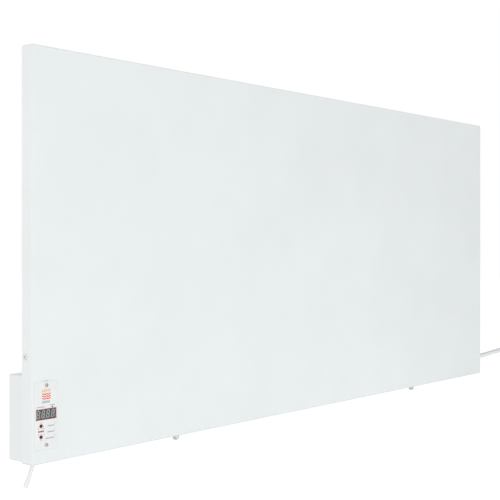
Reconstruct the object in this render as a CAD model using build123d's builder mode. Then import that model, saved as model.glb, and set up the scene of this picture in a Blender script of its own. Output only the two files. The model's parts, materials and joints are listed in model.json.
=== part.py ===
from build123d import *
from math import cos, pi, sin, sqrt, tan
import os

# Wall-hung infrared panel heater with a thermostat box, an air sensor and a mains lead.
#
# Millimetres. +X runs along the panel, +Z is up and +Y goes into the wall, so the panel's warm
# face looks along -Y. The origin is the middle of the four wall holes, on the face of the wall.

# ---------------------------------------------------------------- driving dimensions
# Panel
panel_width = 1200.0
panel_height = 540.0
panel_depth = 20.0
wall_gap = 30.0             # clear space between the panel's back and the wall
corner_radius = 3.0         # of the panel's outline
edge_bend = 2.0             # outside radius of the folded front edge
front_sheet = 1.0
cover_sheet = 0.8
cover_lip = 16.0            # how far the back cover's rim reaches into the tray
seat_gap = 0.2              # fit between folded sheets

# Stiffening beads pressed into the back cover
bead_count = 5
bead_pitch = 110.0
bead_length = 340.0
bead_width = 14.0
bead_height = 2.0

# Inside the panel
film_margin = 26.0          # unheated border, which leaves a gallery for the wiring
film_thickness = 0.3
strip_thickness = 0.3
strip_pitch = 40.0
strip_gap = 8.0             # between neighbouring heating strips
foil_thickness = 0.3
busbar_width = 12.0
bay_clearance = 14.0        # from a box behind the panel to the layers' edge around it
limiter_radius = 8.0
limiter_height = 7.5
limiter_from_left = 150.0
limiter_from_bottom = 90.0
limiter_pocket_gap = 4.0
limiter_tab_thickness = 0.8
limiter_tab_width = 4.0
limiter_tab_length = 7.0

# Rivets through the panel's ends
rivet_radius = 2.0
rivet_head_radius = 4.25
rivet_head_height = 1.5
rivet_flush_radius = 3.2    # the upper pair's low heads, under the coating
rivet_flush_height = 0.35
rivet_bulb_radius = 3.0
rivet_mandrel_radius = 1.4
low_rivet_from_edge = 138.6
high_rivet_from_edge = 134.0

# Control box behind the lower left corner
box_width = 80.0
box_height = 111.5
box_depth = 27.5
box_raise = 2.5             # its floor above the panel's bottom edge
box_sheet = 1.0
box_bend = 1.2              # outside radius of its folds
box_post_inset = 8.0
box_post_across = 6.0
box_cutout_margin = 15.0    # from the box's outline to the hole in the back cover
box_screw_length = 12.0
m3_radius = 1.5
m3_head_radius = 2.6
m3_head_height = 1.7
cross_width = 0.9
cross_span = 3.2
cross_depth = 0.9

# Control overlay on the front, measured from the panel's left and bottom edges
overlay_width = 37.8
overlay_height = 89.0
overlay_thickness = 0.4
overlay_radius = 2.0
overlay_from_left = 3.9
overlay_from_bottom = 17.8
overlay_screw_from_left = 23.5
overlay_screw_low = 24.0
overlay_screw_high = 101.2
window_width = 32.0
window_height = 13.6
window_thickness = 1.0
window_fit = 0.1
window_from_left = 23.4
window_from_bottom = 63.9
button_radius = 2.1
button_gap = 0.3
button_from_left = 15.1
button_low = 35.2
button_high = 49.2
button_proud = 0.5
button_travel = 0.6
button_stop_gap = 0.6       # left over between cap and switch when pressed home
button_stem_radius = 1.75
stem_clearance = 0.25
led_radius = 0.9
led_body_radius = 1.5
led_body_height = 5.0
led_from_left = 33.4
led_from_bottom = 72.5

# Display and board
module_width = 31.0
module_height = 14.0
module_depth = 7.2
module_gap = 0.4            # between the display's face and the window
digit_count = 4
digit_pitch = 7.8
digit_width = 5.0
digit_height = 10.2
digit_slant = 8.0           # degrees
segment_width = 1.15
segment_gap = 0.3
segment_height = 0.15
pcb_width = 34.0
pcb_height = 86.0
pcb_thickness = 1.6
switch_size = 6.2
switch_height = 3.5
switch_bore_depth = 2.0
spacer_radius = 3.0
m3_nut_across = 5.5
m3_nut_height = 2.4
board_parts_from_left = 28.0
board_part_chamfer = 0.6
relay_size = (19.0, 15.5, 15.3)
relay_up = 47.0
power_size = (24.0, 20.0, 14.0)
power_up = 68.0
capacitor_up = 86.0
capacitor_radius = 5.0
capacitor_height = 13.5
terminals_up = 31.5
terminal_ways = 4
terminal_pitch = 5.08
terminal_size = (8.2, 10.0)
terminal_screw_radius = 1.5

# Air sensor on its short lead, out of the control box's floor
sensor_radius = 2.6
sensor_tip_radius = 2.95
sensor_tip_length = 10.0
sensor_sleeve = 4.0
sensor_from_left = 28.5
sensor_inside = 8.0
grommet_flange_radius = 5.8
grommet_neck_radius = 4.2
grommet_flange_height = 1.5
grommet_bore_gap = 0.15

# Terminal box behind the lower right corner
terminal_box_width = 70.0
terminal_box_height = 52.0
terminal_box_wall = 2.0
terminal_box_lid = 2.0
terminal_box_from_right = 50.0
terminal_box_raise = 2.0
terminal_box_radius = 4.0
lid_screw_inset = 6.5
lid_boss_radius = 3.6
lid_screw_radius = 1.6
lid_screw_head = 3.0
lid_screw_length = 12.0
block_ways = 3
block_pitch = 9.0
block_depth = 16.0
block_height = 13.0
block_screw_radius = 1.9
block_slot = 1.2
block_from_gland = 26.0
wire_hole_radius = 9.0
wire_hole_from_side = 14.0
wire_grommet_lip = 1.5
earth_from_hole = (12.0, 18.0)
earth_radius = 2.0
earth_nut_across = 7.0
earth_nut_height = 3.2
earth_stud_length = 14.0

# Mains lead
lead_radius = 4.75
bore_gap = 0.1
gland_thread_radius = 7.5
gland_flange_across = 19.0
gland_flange_height = 5.0
gland_cap_radius = 9.0
gland_cap_length = 11.0
gland_cap_round = 3.0
gland_thread_spare = 2.0
gland_nut_across = 19.0
gland_nut_height = 3.5
relief_start_radius = 7.3
relief_end_radius = 5.9
relief_length = 32.0
relief_groove_count = 5
relief_groove_width = 1.6
relief_groove_depth = 1.1
relief_web = 0.4            # least wall left under a groove
tail_inside = 14.0          # how far the lead runs on inside the terminal box

# Coil of the put-away length
coil_radius = 58.0
turn_pitch = 10.0
layer_pitch = 10.2
turns_in = 2.0              # the spiral turns outward again after these
turns_out = 2.25
turns_climb = 0.5           # centred on that place
tie_thickness = 1.2
tie_width = 9.0
tie_gap = 0.3

# Plug
plug_face_radius = 18.5
plug_face_height = 21.0
plug_neck_radius = 6.5
plug_neck_length = 24.0
plug_shoulder = 4.0
plug_groove_width = 5.0
plug_groove_depth = 2.0
plug_tail = 20.0            # straight cord between the coil and the plug
pin_radius = 2.4
pin_length = 19.0
pin_spacing = 19.0
pin_tip = 1.2
clip_width = 6.5
clip_thickness = 0.8
clip_length = 16.0

# Wall brackets, hangers and their bolts
bracket_spacing = 660.0
bracket_width = 30.0
bracket_sheet = 2.5
bracket_bend = 2.0          # inside radius of its bends
wall_hole_share = 2 / 3       # of the panel's height, between a bracket's two holes
wall_hole_radius = 3.25
hook_from_top = 72.0        # the hook's arm below the panel's top edge
hook_gap = 0.3
hanger_width = 44.0
hanger_sheet = 2.0
hanger_flange = 28.0
hanger_tongue = 22.0
hanger_rivet_spacing = 28.0
lip_end_radius = 5.5
lip_taper = 12.0            # length over which the foot narrows to its round end
m5_radius = 2.5
m5_hole_radius = 2.75
m5_across = 8.0
m5_head_height = 3.5
m5_length = 16.0
washer_radius = 4.6
washer_height = 1.0
weld_nut_across = 10.0
weld_nut_height = 4.5

# Inside wiring
wire_radius = 1.2
wire_bend = 4.5
wire_pitch = 3.0
riser_from_left = 10.0
wire_lowest = 15.5          # the lowest wire in the gallery, above the panel's bottom edge

# ---------------------------------------------------------------- derived places
left = -panel_width / 2
right = panel_width / 2
bottom = -panel_height / 2
top = panel_height / 2
front = wall_gap + panel_depth          # distances from the wall
skin_inside = front - front_sheet
film_back = skin_inside - film_thickness
strip_back = film_back - strip_thickness
foil_back = strip_back - foil_thickness
cover_inside = wall_gap + cover_sheet
mid_depth = wall_gap + panel_depth / 2
rivet_depth = wall_gap + cover_lip / 2
low_rivet = bottom + low_rivet_from_edge
high_rivet = top - high_rivet_from_edge
lead_depth = wall_gap - box_depth / 2   # centre line of both boxes and of the lead
box_back = wall_gap - box_depth
box_floor = bottom + box_raise
box_centre = (left + box_width / 2, box_floor + box_height / 2)


def at(distance):
    """The plane this far out from the wall; its sketches are seen from the room."""
    return Plane.XZ.offset(distance)


def seen_from_wall(distance):
    """The same plane turned to face the wall; its sketches run along +X and -Z."""
    return Plane(origin=(0, -distance, 0), x_dir=(1, 0, 0), z_dir=(0, 1, 0))


def turned(places):
    """Places on the panel as a sketch that faces the wall has them."""
    return [(across, -up) for across, up in places]


def point(across, distance, up):
    """A point from its place on the panel and its distance from the wall."""
    return Vector(across, -distance, up)


def from_corner(across, up):
    """A place measured from the panel's lower left corner."""
    return (left + across, bottom + up)


window_place = from_corner(window_from_left, window_from_bottom)
led_place = from_corner(led_from_left, led_from_bottom)
button_places = {
    "up_button": from_corner(button_from_left, button_high),
    "down_button": from_corner(button_from_left, button_low),
}
overlay_screws_at = [
    from_corner(overlay_screw_from_left, up) for up in (overlay_screw_low, overlay_screw_high)
]
overlay_centre = from_corner(
    overlay_from_left + overlay_width / 2, overlay_from_bottom + overlay_height / 2
)

os.makedirs("parts", exist_ok=True)


def corners_of(centre, width, height, inset):
    """The four places this far inside a rectangle's corners."""
    across, up = width / 2 - inset, height / 2 - inset
    return [(centre[0] + i * across, centre[1] + j * up) for i in (-1, 1) for j in (-1, 1)]


def end_planes(up):
    """Planes on the panel's two ends, halfway along the cover's rim, facing outward."""
    return [
        Plane(origin=(end * panel_width / 2, -rivet_depth, up), x_dir=(0, 1, 0), z_dir=(end, 0, 0))
        for end in (-1, 1)
    ]


def cut_end_holes(radius):
    """Cuts the rivet holes through both ends of the part being built."""
    with BuildSketch(Plane.YZ.offset(left)) as holes:
        with Locations((-rivet_depth, low_rivet), (-rivet_depth, high_rivet)):
            Circle(radius)
    extrude(holes.sketch, amount=panel_width, mode=Mode.SUBTRACT)


def cut_bolt_holes(depth):
    """Cuts the bracket bolts' holes up into the bottom edge of the part being built."""
    with BuildSketch(Plane.XY.offset(bottom)) as holes:
        with Locations((0, -mid_depth)):
            with GridLocations(bracket_spacing, 0, 2, 1):
                Circle(m5_hole_radius)
    extrude(holes.sketch, amount=depth, mode=Mode.SUBTRACT)


def pan_head_screws(face, places, length):
    """M3 pan-head screws with a cross recess, their heads standing on the given face."""
    out = Axis(face.origin, face.z_dir)
    with BuildPart() as screws:
        with BuildSketch(face):
            with Locations(*places):
                Circle(m3_head_radius)
        extrude(amount=m3_head_height)
        fillet(screws.faces().group_by(out)[-1].edges(), m3_head_height * 0.75)
        with BuildSketch(face.offset(m3_head_height)):
            with Locations(*places):
                Rectangle(cross_span, cross_width)
                Rectangle(cross_width, cross_span)
        extrude(amount=-cross_depth, mode=Mode.SUBTRACT)
        with BuildSketch(face):
            with Locations(*places):
                Circle(m3_radius)
        extrude(amount=-length)
    return screws


def blind_rivets(faces, head_radius, head_height, grip):
    """Blind rivets with their heads on the given faces, set through this much sheet."""
    tail = -grip - rivet_bulb_radius
    with BuildPart() as rivets:
        for face in faces:
            profile = Plane(origin=face.origin, x_dir=face.x_dir, z_dir=-face.y_dir)
            with BuildSketch(profile):
                with BuildLine():
                    Polyline(
                        (rivet_mandrel_radius, head_height),
                        (rivet_mandrel_radius, head_height * 0.4),
                        (0, head_height * 0.4),
                        (0, tail),
                        (rivet_bulb_radius * 0.7, tail),
                        (rivet_bulb_radius, -grip),
                        (rivet_radius, -grip),
                        (rivet_radius, 0),
                        (head_radius, 0),
                    )
                    ThreePointArc(
                        (head_radius, 0),
                        (head_radius * 0.78, head_height * 0.72),
                        (rivet_mandrel_radius, head_height),
                    )
                make_face()
            revolve(axis=Axis(face.origin, face.z_dir))
    return rivets


def hexagon(across):
    RegularPolygon(across / 2, 6, major_radius=False)


# ---------------------------------------------------------------- panel shell
with BuildPart() as front_tray:
    with BuildSketch(at(wall_gap)):
        RectangleRounded(panel_width, panel_height, corner_radius)
    extrude(amount=panel_depth)
    fillet(front_tray.faces().sort_by(Axis.Y)[0].edges(), edge_bend)
    with BuildSketch(at(wall_gap)):
        RectangleRounded(
            panel_width - 2 * front_sheet,
            panel_height - 2 * front_sheet,
            corner_radius - front_sheet,
        )
    extrude(amount=panel_depth - front_sheet, mode=Mode.SUBTRACT)
    inner_face = front_tray.faces().filter_by(Axis.Y).sort_by(Axis.Y)[1]
    fillet(inner_face.edges(), edge_bend - front_sheet)
    with BuildSketch(at(front)):
        with Locations(window_place):
            Rectangle(window_width + 2 * window_fit, window_height + 2 * window_fit)
        with Locations(*button_places.values()):
            Circle(button_radius + button_gap)
        with Locations(led_place):
            Circle(led_radius + button_gap)
        with Locations(*overlay_screws_at):
            Circle(m3_radius + seat_gap)
    extrude(amount=-2 * front_sheet, mode=Mode.SUBTRACT)
    cut_end_holes(rivet_radius + seat_gap / 2)
    cut_bolt_holes(2 * front_sheet)
front_tray.part.label = "front_tray"
export_step(front_tray.part, "parts/front_tray.step")

cover_inset = front_sheet + seat_gap
terminal_box_centre = (
    right - terminal_box_from_right - terminal_box_width / 2,
    bottom + terminal_box_raise + terminal_box_height / 2,
)
terminal_box_left = terminal_box_centre[0] - terminal_box_width / 2
wire_hole_at = (terminal_box_left + wire_hole_from_side, terminal_box_centre[1])
earth_at = (wire_hole_at[0] + earth_from_hole[0], wire_hole_at[1] + earth_from_hole[1])
hanger_low = top - hook_from_top
hanger_flange_low = hanger_low + hanger_tongue - hanger_sheet
hanger_high = hanger_low + hanger_tongue + hanger_flange
hanger_rivets_at = [
    (side * bracket_spacing / 2 + place * hanger_rivet_spacing / 2, hanger_high - hanger_flange / 2)
    for side in (-1, 1)
    for place in (-1, 1)
]

with BuildPart() as rear_cover:
    with BuildSketch(at(wall_gap)):
        RectangleRounded(
            panel_width - 2 * cover_inset, panel_height - 2 * cover_inset, corner_radius - front_sheet
        )
    extrude(amount=cover_lip)
    with BuildSketch(at(cover_inside)):
        RectangleRounded(
            panel_width - 2 * (cover_inset + cover_sheet),
            panel_height - 2 * (cover_inset + cover_sheet),
            corner_radius - front_sheet - cover_sheet,
        )
    extrude(amount=cover_lip, mode=Mode.SUBTRACT)
    with BuildSketch(at(wall_gap)):
        with GridLocations(bead_pitch, 0, bead_count, 1):
            SlotOverall(bead_length, bead_width, rotation=90)
    extrude(amount=-bead_height)
    fillet(rear_cover.faces().group_by(Axis.Y)[-1].edges(), bead_height * 0.7)
    with BuildSketch(at(cover_inside)):
        with GridLocations(bead_pitch, 0, bead_count, 1):
            SlotOverall(bead_length - 2 * cover_sheet, bead_width - 2 * cover_sheet, rotation=90)
    extrude(amount=-bead_height, mode=Mode.SUBTRACT)
    with BuildSketch(at(wall_gap)):
        with Locations(box_centre):
            Rectangle(box_width - 2 * box_cutout_margin, box_height - 2 * box_cutout_margin)
        with Locations(wire_hole_at):
            Circle(wire_hole_radius)
        with Locations(earth_at):
            Circle(earth_radius + seat_gap)
        with Locations(*hanger_rivets_at):
            Circle(rivet_radius + seat_gap / 2)
    extrude(amount=2 * cover_sheet, mode=Mode.SUBTRACT)
    cut_end_holes(rivet_radius + seat_gap / 2)
    cut_bolt_holes(4 * front_sheet)
rear_cover.part.label = "rear_cover"
export_step(rear_cover.part, "parts/rear_cover.step")

rivet_grip = cover_inset + cover_sheet
side_rivets_low = blind_rivets(
    end_planes(low_rivet), rivet_head_radius, rivet_head_height, rivet_grip
)
side_rivets_low.part.label = "side_rivets_low"
export_step(side_rivets_low.part, "parts/side_rivets_low.step")
side_rivets_high = blind_rivets(
    end_planes(high_rivet), rivet_flush_radius, rivet_flush_height, rivet_grip
)
side_rivets_high.part.label = "side_rivets_high"
export_step(side_rivets_high.part, "parts/side_rivets_high.step")

with BuildPart() as weld_nuts:
    with BuildSketch(Plane.XY.offset(bottom + cover_inset + cover_sheet)):
        with Locations((0, -mid_depth)):
            with GridLocations(bracket_spacing, 0, 2, 1):
                hexagon(weld_nut_across)
                Circle(m5_radius, mode=Mode.SUBTRACT)
    extrude(amount=weld_nut_height)
weld_nuts.part.label = "weld_nuts"
export_step(weld_nuts.part, "parts/weld_nuts.step")


# ---------------------------------------------------------------- heating layers
control_bay = (box_width + bay_clearance, box_raise + box_height + bay_clearance)
terminal_bay = (
    terminal_box_from_right + terminal_box_width + bay_clearance,
    terminal_box_raise + terminal_box_height + bay_clearance,
)
limiter_at = from_corner(limiter_from_left, limiter_from_bottom)
pocket_radius = limiter_radius + limiter_pocket_gap


def heated_field(margin):
    """Sketches the panel's field this far inside its edges and clear of both wiring bays."""
    Rectangle(panel_width - 2 * margin, panel_height - 2 * margin)
    with Locations((left, bottom)):
        Rectangle(*control_bay, align=Align.MIN, mode=Mode.SUBTRACT)
    with Locations((right, bottom)):
        Rectangle(*terminal_bay, align=(Align.MAX, Align.MIN), mode=Mode.SUBTRACT)


def busbar_lines():
    """Draws the two busbars' centre lines; the lower one steps over the wiring bays."""
    half = busbar_width / 2
    low, high = bottom + film_margin + half, top - film_margin - half
    ends = (left + film_margin, right - film_margin)
    steps = (left + control_bay[0] + half, right - terminal_bay[0] - half)
    Line((ends[0], high), (ends[1], high))
    Polyline(
        (ends[0], bottom + control_bay[1] + half),
        (steps[0], bottom + control_bay[1] + half),
        (steps[0], low),
        (steps[1], low),
        (steps[1], bottom + terminal_bay[1] + half),
        (ends[1], bottom + terminal_bay[1] + half),
    )


with BuildPart() as heating_film:
    with BuildSketch(at(film_back)):
        heated_field(film_margin)
    extrude(amount=film_thickness)
heating_film.part.label = "heating_film"
export_step(heating_film.part, "parts/heating_film.step")

with BuildPart() as busbars:
    with BuildSketch(at(strip_back)):
        with BuildLine():
            busbar_lines()
        trace(line_width=busbar_width)
    extrude(amount=strip_thickness)
busbars.part.label = "busbars"
export_step(busbars.part, "parts/busbars.step")

strip_count = int((panel_width - 2 * film_margin) / strip_pitch)
with BuildPart() as heating_strips:
    with BuildSketch(at(strip_back)):
        heated_field(film_margin)
        with BuildLine():
            busbar_lines()
        trace(line_width=busbar_width, mode=Mode.SUBTRACT)
        with GridLocations(strip_pitch, 0, strip_count, 1):
            Rectangle(strip_gap, panel_height, mode=Mode.SUBTRACT)
    extrude(amount=strip_thickness)
heating_strips.part.label = "heating_strips"
export_step(heating_strips.part, "parts/heating_strips.step")

with BuildPart() as reflector_foil:
    with BuildSketch(at(foil_back)):
        heated_field(film_margin)
        with Locations(limiter_at):
            Circle(pocket_radius, mode=Mode.SUBTRACT)
    extrude(amount=foil_thickness)
reflector_foil.part.label = "reflector_foil"
export_step(reflector_foil.part, "parts/reflector_foil.step")

with BuildPart() as insulation_board:
    with BuildSketch(at(cover_inside)):
        heated_field(film_margin)
        with Locations(limiter_at):
            Circle(pocket_radius, mode=Mode.SUBTRACT)
        with Locations((limiter_at[0], bottom)):
            Rectangle(
                limiter_radius + 6 * wire_radius,
                limiter_from_bottom,
                align=(Align.CENTER, Align.MIN),
                mode=Mode.SUBTRACT,
            )
    extrude(amount=foil_back - cover_inside)
    with BuildSketch(at(cover_inside)):
        with Locations(*hanger_rivets_at):
            Circle(rivet_bulb_radius + limiter_pocket_gap / 2)
    extrude(amount=2 * rivet_bulb_radius, mode=Mode.SUBTRACT)
insulation_board.part.label = "insulation_board"
export_step(insulation_board.part, "parts/insulation_board.step")

with BuildPart() as overheat_limiter:
    with BuildSketch(at(strip_back)):
        with Locations(limiter_at):
            Circle(limiter_radius)
    extrude(amount=-limiter_height)
    fillet(overheat_limiter.faces().sort_by(Axis.Y)[-1].edges(), limiter_height / 6)
    with BuildSketch(at(strip_back - limiter_height)):
        with Locations(limiter_at):
            with GridLocations(limiter_radius, 0, 2, 1):
                Rectangle(limiter_tab_thickness, limiter_tab_width)
    extrude(amount=-limiter_tab_length)
overheat_limiter.part.label = "overheat_limiter"
export_step(overheat_limiter.part, "parts/overheat_limiter.step")


# ---------------------------------------------------------------- control box
box_posts_at = corners_of(box_centre, box_width, box_height, box_post_inset)
sensor_across = left + sensor_from_left

with BuildPart() as control_box:
    with BuildSketch(at(box_back)):
        with Locations(box_centre):
            RectangleRounded(box_width, box_height, box_bend)
    extrude(amount=box_depth)
    fillet(control_box.faces().sort_by(Axis.Y)[-1].edges(), box_bend)
    with BuildSketch(at(wall_gap)):
        with Locations(box_centre):
            Rectangle(box_width - 2 * box_sheet, box_height - 2 * box_sheet)
    extrude(amount=box_sheet - box_depth, mode=Mode.SUBTRACT)
    with BuildSketch(at(box_back)):
        with Locations(*box_posts_at):
            Circle(m3_radius + seat_gap)
    extrude(amount=2 * box_sheet, mode=Mode.SUBTRACT)
    with BuildSketch(Plane.XY.offset(box_floor)):
        with Locations((sensor_across, -lead_depth)):
            Circle(grommet_neck_radius + seat_gap / 2)
    extrude(amount=2 * box_sheet, mode=Mode.SUBTRACT)
control_box.part.label = "control_box"
export_step(control_box.part, "parts/control_box.step")

with BuildPart() as box_posts:
    with BuildSketch(at(box_back + box_sheet)):
        with Locations(*box_posts_at):
            hexagon(box_post_across)
            Circle(m3_radius, mode=Mode.SUBTRACT)
    extrude(amount=box_depth - box_sheet)
box_posts.part.label = "box_posts"
export_step(box_posts.part, "parts/box_posts.step")

box_screws = pan_head_screws(seen_from_wall(box_back), turned(box_posts_at), box_screw_length)
box_screws.part.label = "box_screws"
export_step(box_screws.part, "parts/box_screws.step")

with BuildPart() as sensor_grommet:
    with BuildSketch(Plane.XY.offset(box_floor - grommet_flange_height)):
        with Locations((sensor_across, -lead_depth)):
            Circle(grommet_flange_radius)
    extrude(amount=grommet_flange_height)
    fillet(sensor_grommet.faces().sort_by(Axis.Z)[0].edges(), grommet_flange_height * 0.6)
    with BuildSketch(Plane.XY.offset(box_floor)):
        with Locations((sensor_across, -lead_depth)):
            Circle(grommet_neck_radius)
    extrude(amount=box_sheet)
    with BuildSketch(Plane.XY.offset(box_floor + box_sheet)):
        with Locations((sensor_across, -lead_depth)):
            Circle(grommet_flange_radius)
    extrude(amount=grommet_flange_height)
    with BuildSketch(Plane.XY.offset(box_floor - grommet_flange_height)):
        with Locations((sensor_across, -lead_depth)):
            Circle(sensor_radius + grommet_bore_gap)
    extrude(amount=box_sheet + 2 * grommet_flange_height, mode=Mode.SUBTRACT)
sensor_grommet.part.label = "sensor_grommet"
export_step(sensor_grommet.part, "parts/sensor_grommet.step")


# ---------------------------------------------------------------- control overlay and display
overlay_front = front + overlay_thickness
window_back = overlay_front - window_thickness
module_front = window_back - module_gap
pcb_front = module_front - module_depth
pcb_back = pcb_front - pcb_thickness
pcb_centre = from_corner(window_from_left, (overlay_screw_low + overlay_screw_high) / 2)

with BuildPart() as control_overlay:
    with BuildSketch(at(front)):
        with Locations(overlay_centre):
            RectangleRounded(overlay_width, overlay_height, overlay_radius)
        with Locations(window_place):
            Rectangle(
                window_width + 2 * window_fit, window_height + 2 * window_fit, mode=Mode.SUBTRACT
            )
        with Locations(*button_places.values()):
            Circle(button_radius + button_gap, mode=Mode.SUBTRACT)
        with Locations(led_place):
            Circle(led_radius + button_gap, mode=Mode.SUBTRACT)
        with Locations(*overlay_screws_at):
            Circle(m3_radius + seat_gap, mode=Mode.SUBTRACT)
    extrude(amount=overlay_thickness)
control_overlay.part.label = "control_overlay"
export_step(control_overlay.part, "parts/control_overlay.step")

with BuildPart() as display_window:
    with BuildSketch(at(window_back)):
        with Locations(window_place):
            Rectangle(window_width, window_height)
    extrude(amount=window_thickness)
display_window.part.label = "display_window"
export_step(display_window.part, "parts/display_window.step")

with BuildPart() as display_module:
    with BuildSketch(at(pcb_front)):
        with Locations(window_place):
            Rectangle(module_width, module_height)
    extrude(amount=module_depth - segment_height)
display_module.part.label = "display_module"
export_step(display_module.part, "parts/display_module.step")


def segment(length, turn):
    """Sketches one bar of a digit, pointed at both ends."""
    half, edge = length / 2, segment_width / 2
    Polygon(
        (-half, 0),
        (edge - half, edge),
        (half - edge, edge),
        (half, 0),
        (half - edge, -edge),
        (edge - half, -edge),
        rotation=turn,
    )


with BuildPart() as display_segments:
    across = (digit_width - segment_width) / 2
    up = (digit_height - segment_width) / 2
    lean = tan(digit_slant * pi / 180)
    with BuildSketch(at(module_front - segment_height)):
        with Locations(window_place):
            with GridLocations(digit_pitch, 0, digit_count, 1):
                with Locations((up * lean, up), (0, 0), (-up * lean, -up)):
                    segment(2 * across - segment_gap, 0)
                for level in (-up / 2, up / 2):
                    with Locations((level * lean - across, level), (level * lean + across, level)):
                        segment(up - segment_gap, 90 - digit_slant)
                with Locations((across + segment_width * 1.1 - up * lean, -up)):
                    Circle(segment_width / 2)
    extrude(amount=segment_height)
display_segments.part.label = "display_segments"
export_step(display_segments.part, "parts/display_segments.step")

with BuildPart() as control_pcb:
    with BuildSketch(at(pcb_back)):
        with Locations(pcb_centre):
            RectangleRounded(pcb_width, pcb_height, overlay_radius)
        with Locations(*overlay_screws_at):
            Circle(m3_radius + seat_gap, mode=Mode.SUBTRACT)
    extrude(amount=pcb_thickness)
control_pcb.part.label = "control_pcb"
export_step(control_pcb.part, "parts/control_pcb.step")

overlay_screw_length = overlay_front - pcb_back + m3_nut_height
overlay_screws = pan_head_screws(at(overlay_front), overlay_screws_at, overlay_screw_length)
overlay_screws.part.label = "overlay_screws"
export_step(overlay_screws.part, "parts/overlay_screws.step")

with BuildPart() as pcb_spacers:
    with BuildSketch(at(pcb_front)):
        with Locations(*overlay_screws_at):
            Circle(spacer_radius)
            Circle(m3_radius + seat_gap, mode=Mode.SUBTRACT)
    extrude(amount=skin_inside - pcb_front)
pcb_spacers.part.label = "pcb_spacers"
export_step(pcb_spacers.part, "parts/pcb_spacers.step")

with BuildPart() as pcb_nuts:
    with BuildSketch(at(pcb_back)):
        with Locations(*overlay_screws_at):
            hexagon(m3_nut_across)
            Circle(m3_radius, mode=Mode.SUBTRACT)
    extrude(amount=-m3_nut_height)
pcb_nuts.part.label = "pcb_nuts"
export_step(pcb_nuts.part, "parts/pcb_nuts.step")

# Each button's stem stands clear of its switch's bore at the end of the travel too.
switch_front = pcb_front + switch_height
stem_low = switch_front - switch_bore_depth + button_travel + button_stop_gap
cap_low = switch_front + button_travel + button_stop_gap
cap_front = overlay_front + button_proud

with BuildPart() as switch_bodies:
    with BuildSketch(at(pcb_front)):
        with Locations(*button_places.values()):
            Rectangle(switch_size, switch_size)
    extrude(amount=switch_height)
    with BuildSketch(at(switch_front)):
        with Locations(*button_places.values()):
            Circle(button_stem_radius + stem_clearance)
    extrude(amount=-switch_bore_depth, mode=Mode.SUBTRACT)
switch_bodies.part.label = "switch_bodies"
export_step(switch_bodies.part, "parts/switch_bodies.step")

for name, place in button_places.items():
    with BuildPart() as button:
        with BuildSketch(at(stem_low)):
            with Locations(place):
                Circle(button_stem_radius)
        extrude(amount=cap_low - stem_low)
        with BuildSketch(at(cap_low)):
            with Locations(place):
                Circle(button_radius)
        extrude(amount=cap_front - cap_low)
        fillet(button.faces().sort_by(Axis.Y)[0].edges(), button_proud)
    button.part.label = name
    export_step(button.part, f"parts/{name}.step")

with BuildPart() as status_led:
    with BuildSketch(at(pcb_front)):
        with Locations(led_place):
            Circle(led_body_radius)
    extrude(amount=led_body_height)
    with BuildSketch(at(pcb_front + led_body_height)):
        with Locations(led_place):
            Circle(led_radius)
    extrude(amount=overlay_front - pcb_front - led_body_height)
status_led.part.label = "status_led"
export_step(status_led.part, "parts/status_led.step")


def board_place(up):
    """A place on the board's back, this high above the panel's bottom edge."""
    return from_corner(board_parts_from_left, up)


with BuildPart() as relay:
    with BuildSketch(at(pcb_back)):
        with Locations(board_place(relay_up)):
            Rectangle(relay_size[0], relay_size[1])
    extrude(amount=-relay_size[2])
    chamfer(relay.faces().sort_by(Axis.Y)[-1].edges(), board_part_chamfer)
relay.part.label = "relay"
export_step(relay.part, "parts/relay.step")

with BuildPart() as power_module:
    with BuildSketch(at(pcb_back)):
        with Locations(board_place(power_up)):
            Rectangle(power_size[0], power_size[1])
    extrude(amount=-power_size[2])
    chamfer(power_module.faces().sort_by(Axis.Y)[-1].edges(), board_part_chamfer)
power_module.part.label = "power_module"
export_step(power_module.part, "parts/power_module.step")

with BuildPart() as filter_capacitor:
    with BuildSketch(at(pcb_back)):
        with Locations(board_place(capacitor_up)):
            Circle(capacitor_radius)
    extrude(amount=-capacitor_height)
    fillet(filter_capacitor.faces().sort_by(Axis.Y)[-1].edges(), board_part_chamfer)
filter_capacitor.part.label = "filter_capacitor"
export_step(filter_capacitor.part, "parts/filter_capacitor.step")

terminals_at = board_place(terminals_up)
with BuildPart() as board_terminals:
    with BuildSketch(at(pcb_back)):
        with Locations(terminals_at):
            Rectangle(terminal_ways * terminal_pitch, terminal_size[0])
    extrude(amount=-terminal_size[1])
    with BuildSketch(at(pcb_back - terminal_size[1])):
        with Locations(terminals_at):
            with GridLocations(terminal_pitch, 0, terminal_ways, 1):
                Circle(terminal_screw_radius)
    extrude(amount=terminal_size[1] / 3, mode=Mode.SUBTRACT)
board_terminals.part.label = "board_terminals"
export_step(board_terminals.part, "parts/board_terminals.step")


# ---------------------------------------------------------------- terminal box
terminal_back = box_back + terminal_box_lid
lid_screws_at = corners_of(terminal_box_centre, terminal_box_width, terminal_box_height, lid_screw_inset)
gland_wall = terminal_box_left + terminal_box_width
lead_up = terminal_box_centre[1]


def along_lead(across):
    """The plane square to the mains lead at this place along the panel."""
    return Plane(origin=(across, -lead_depth, lead_up), x_dir=(0, 1, 0), z_dir=(1, 0, 0))


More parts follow.
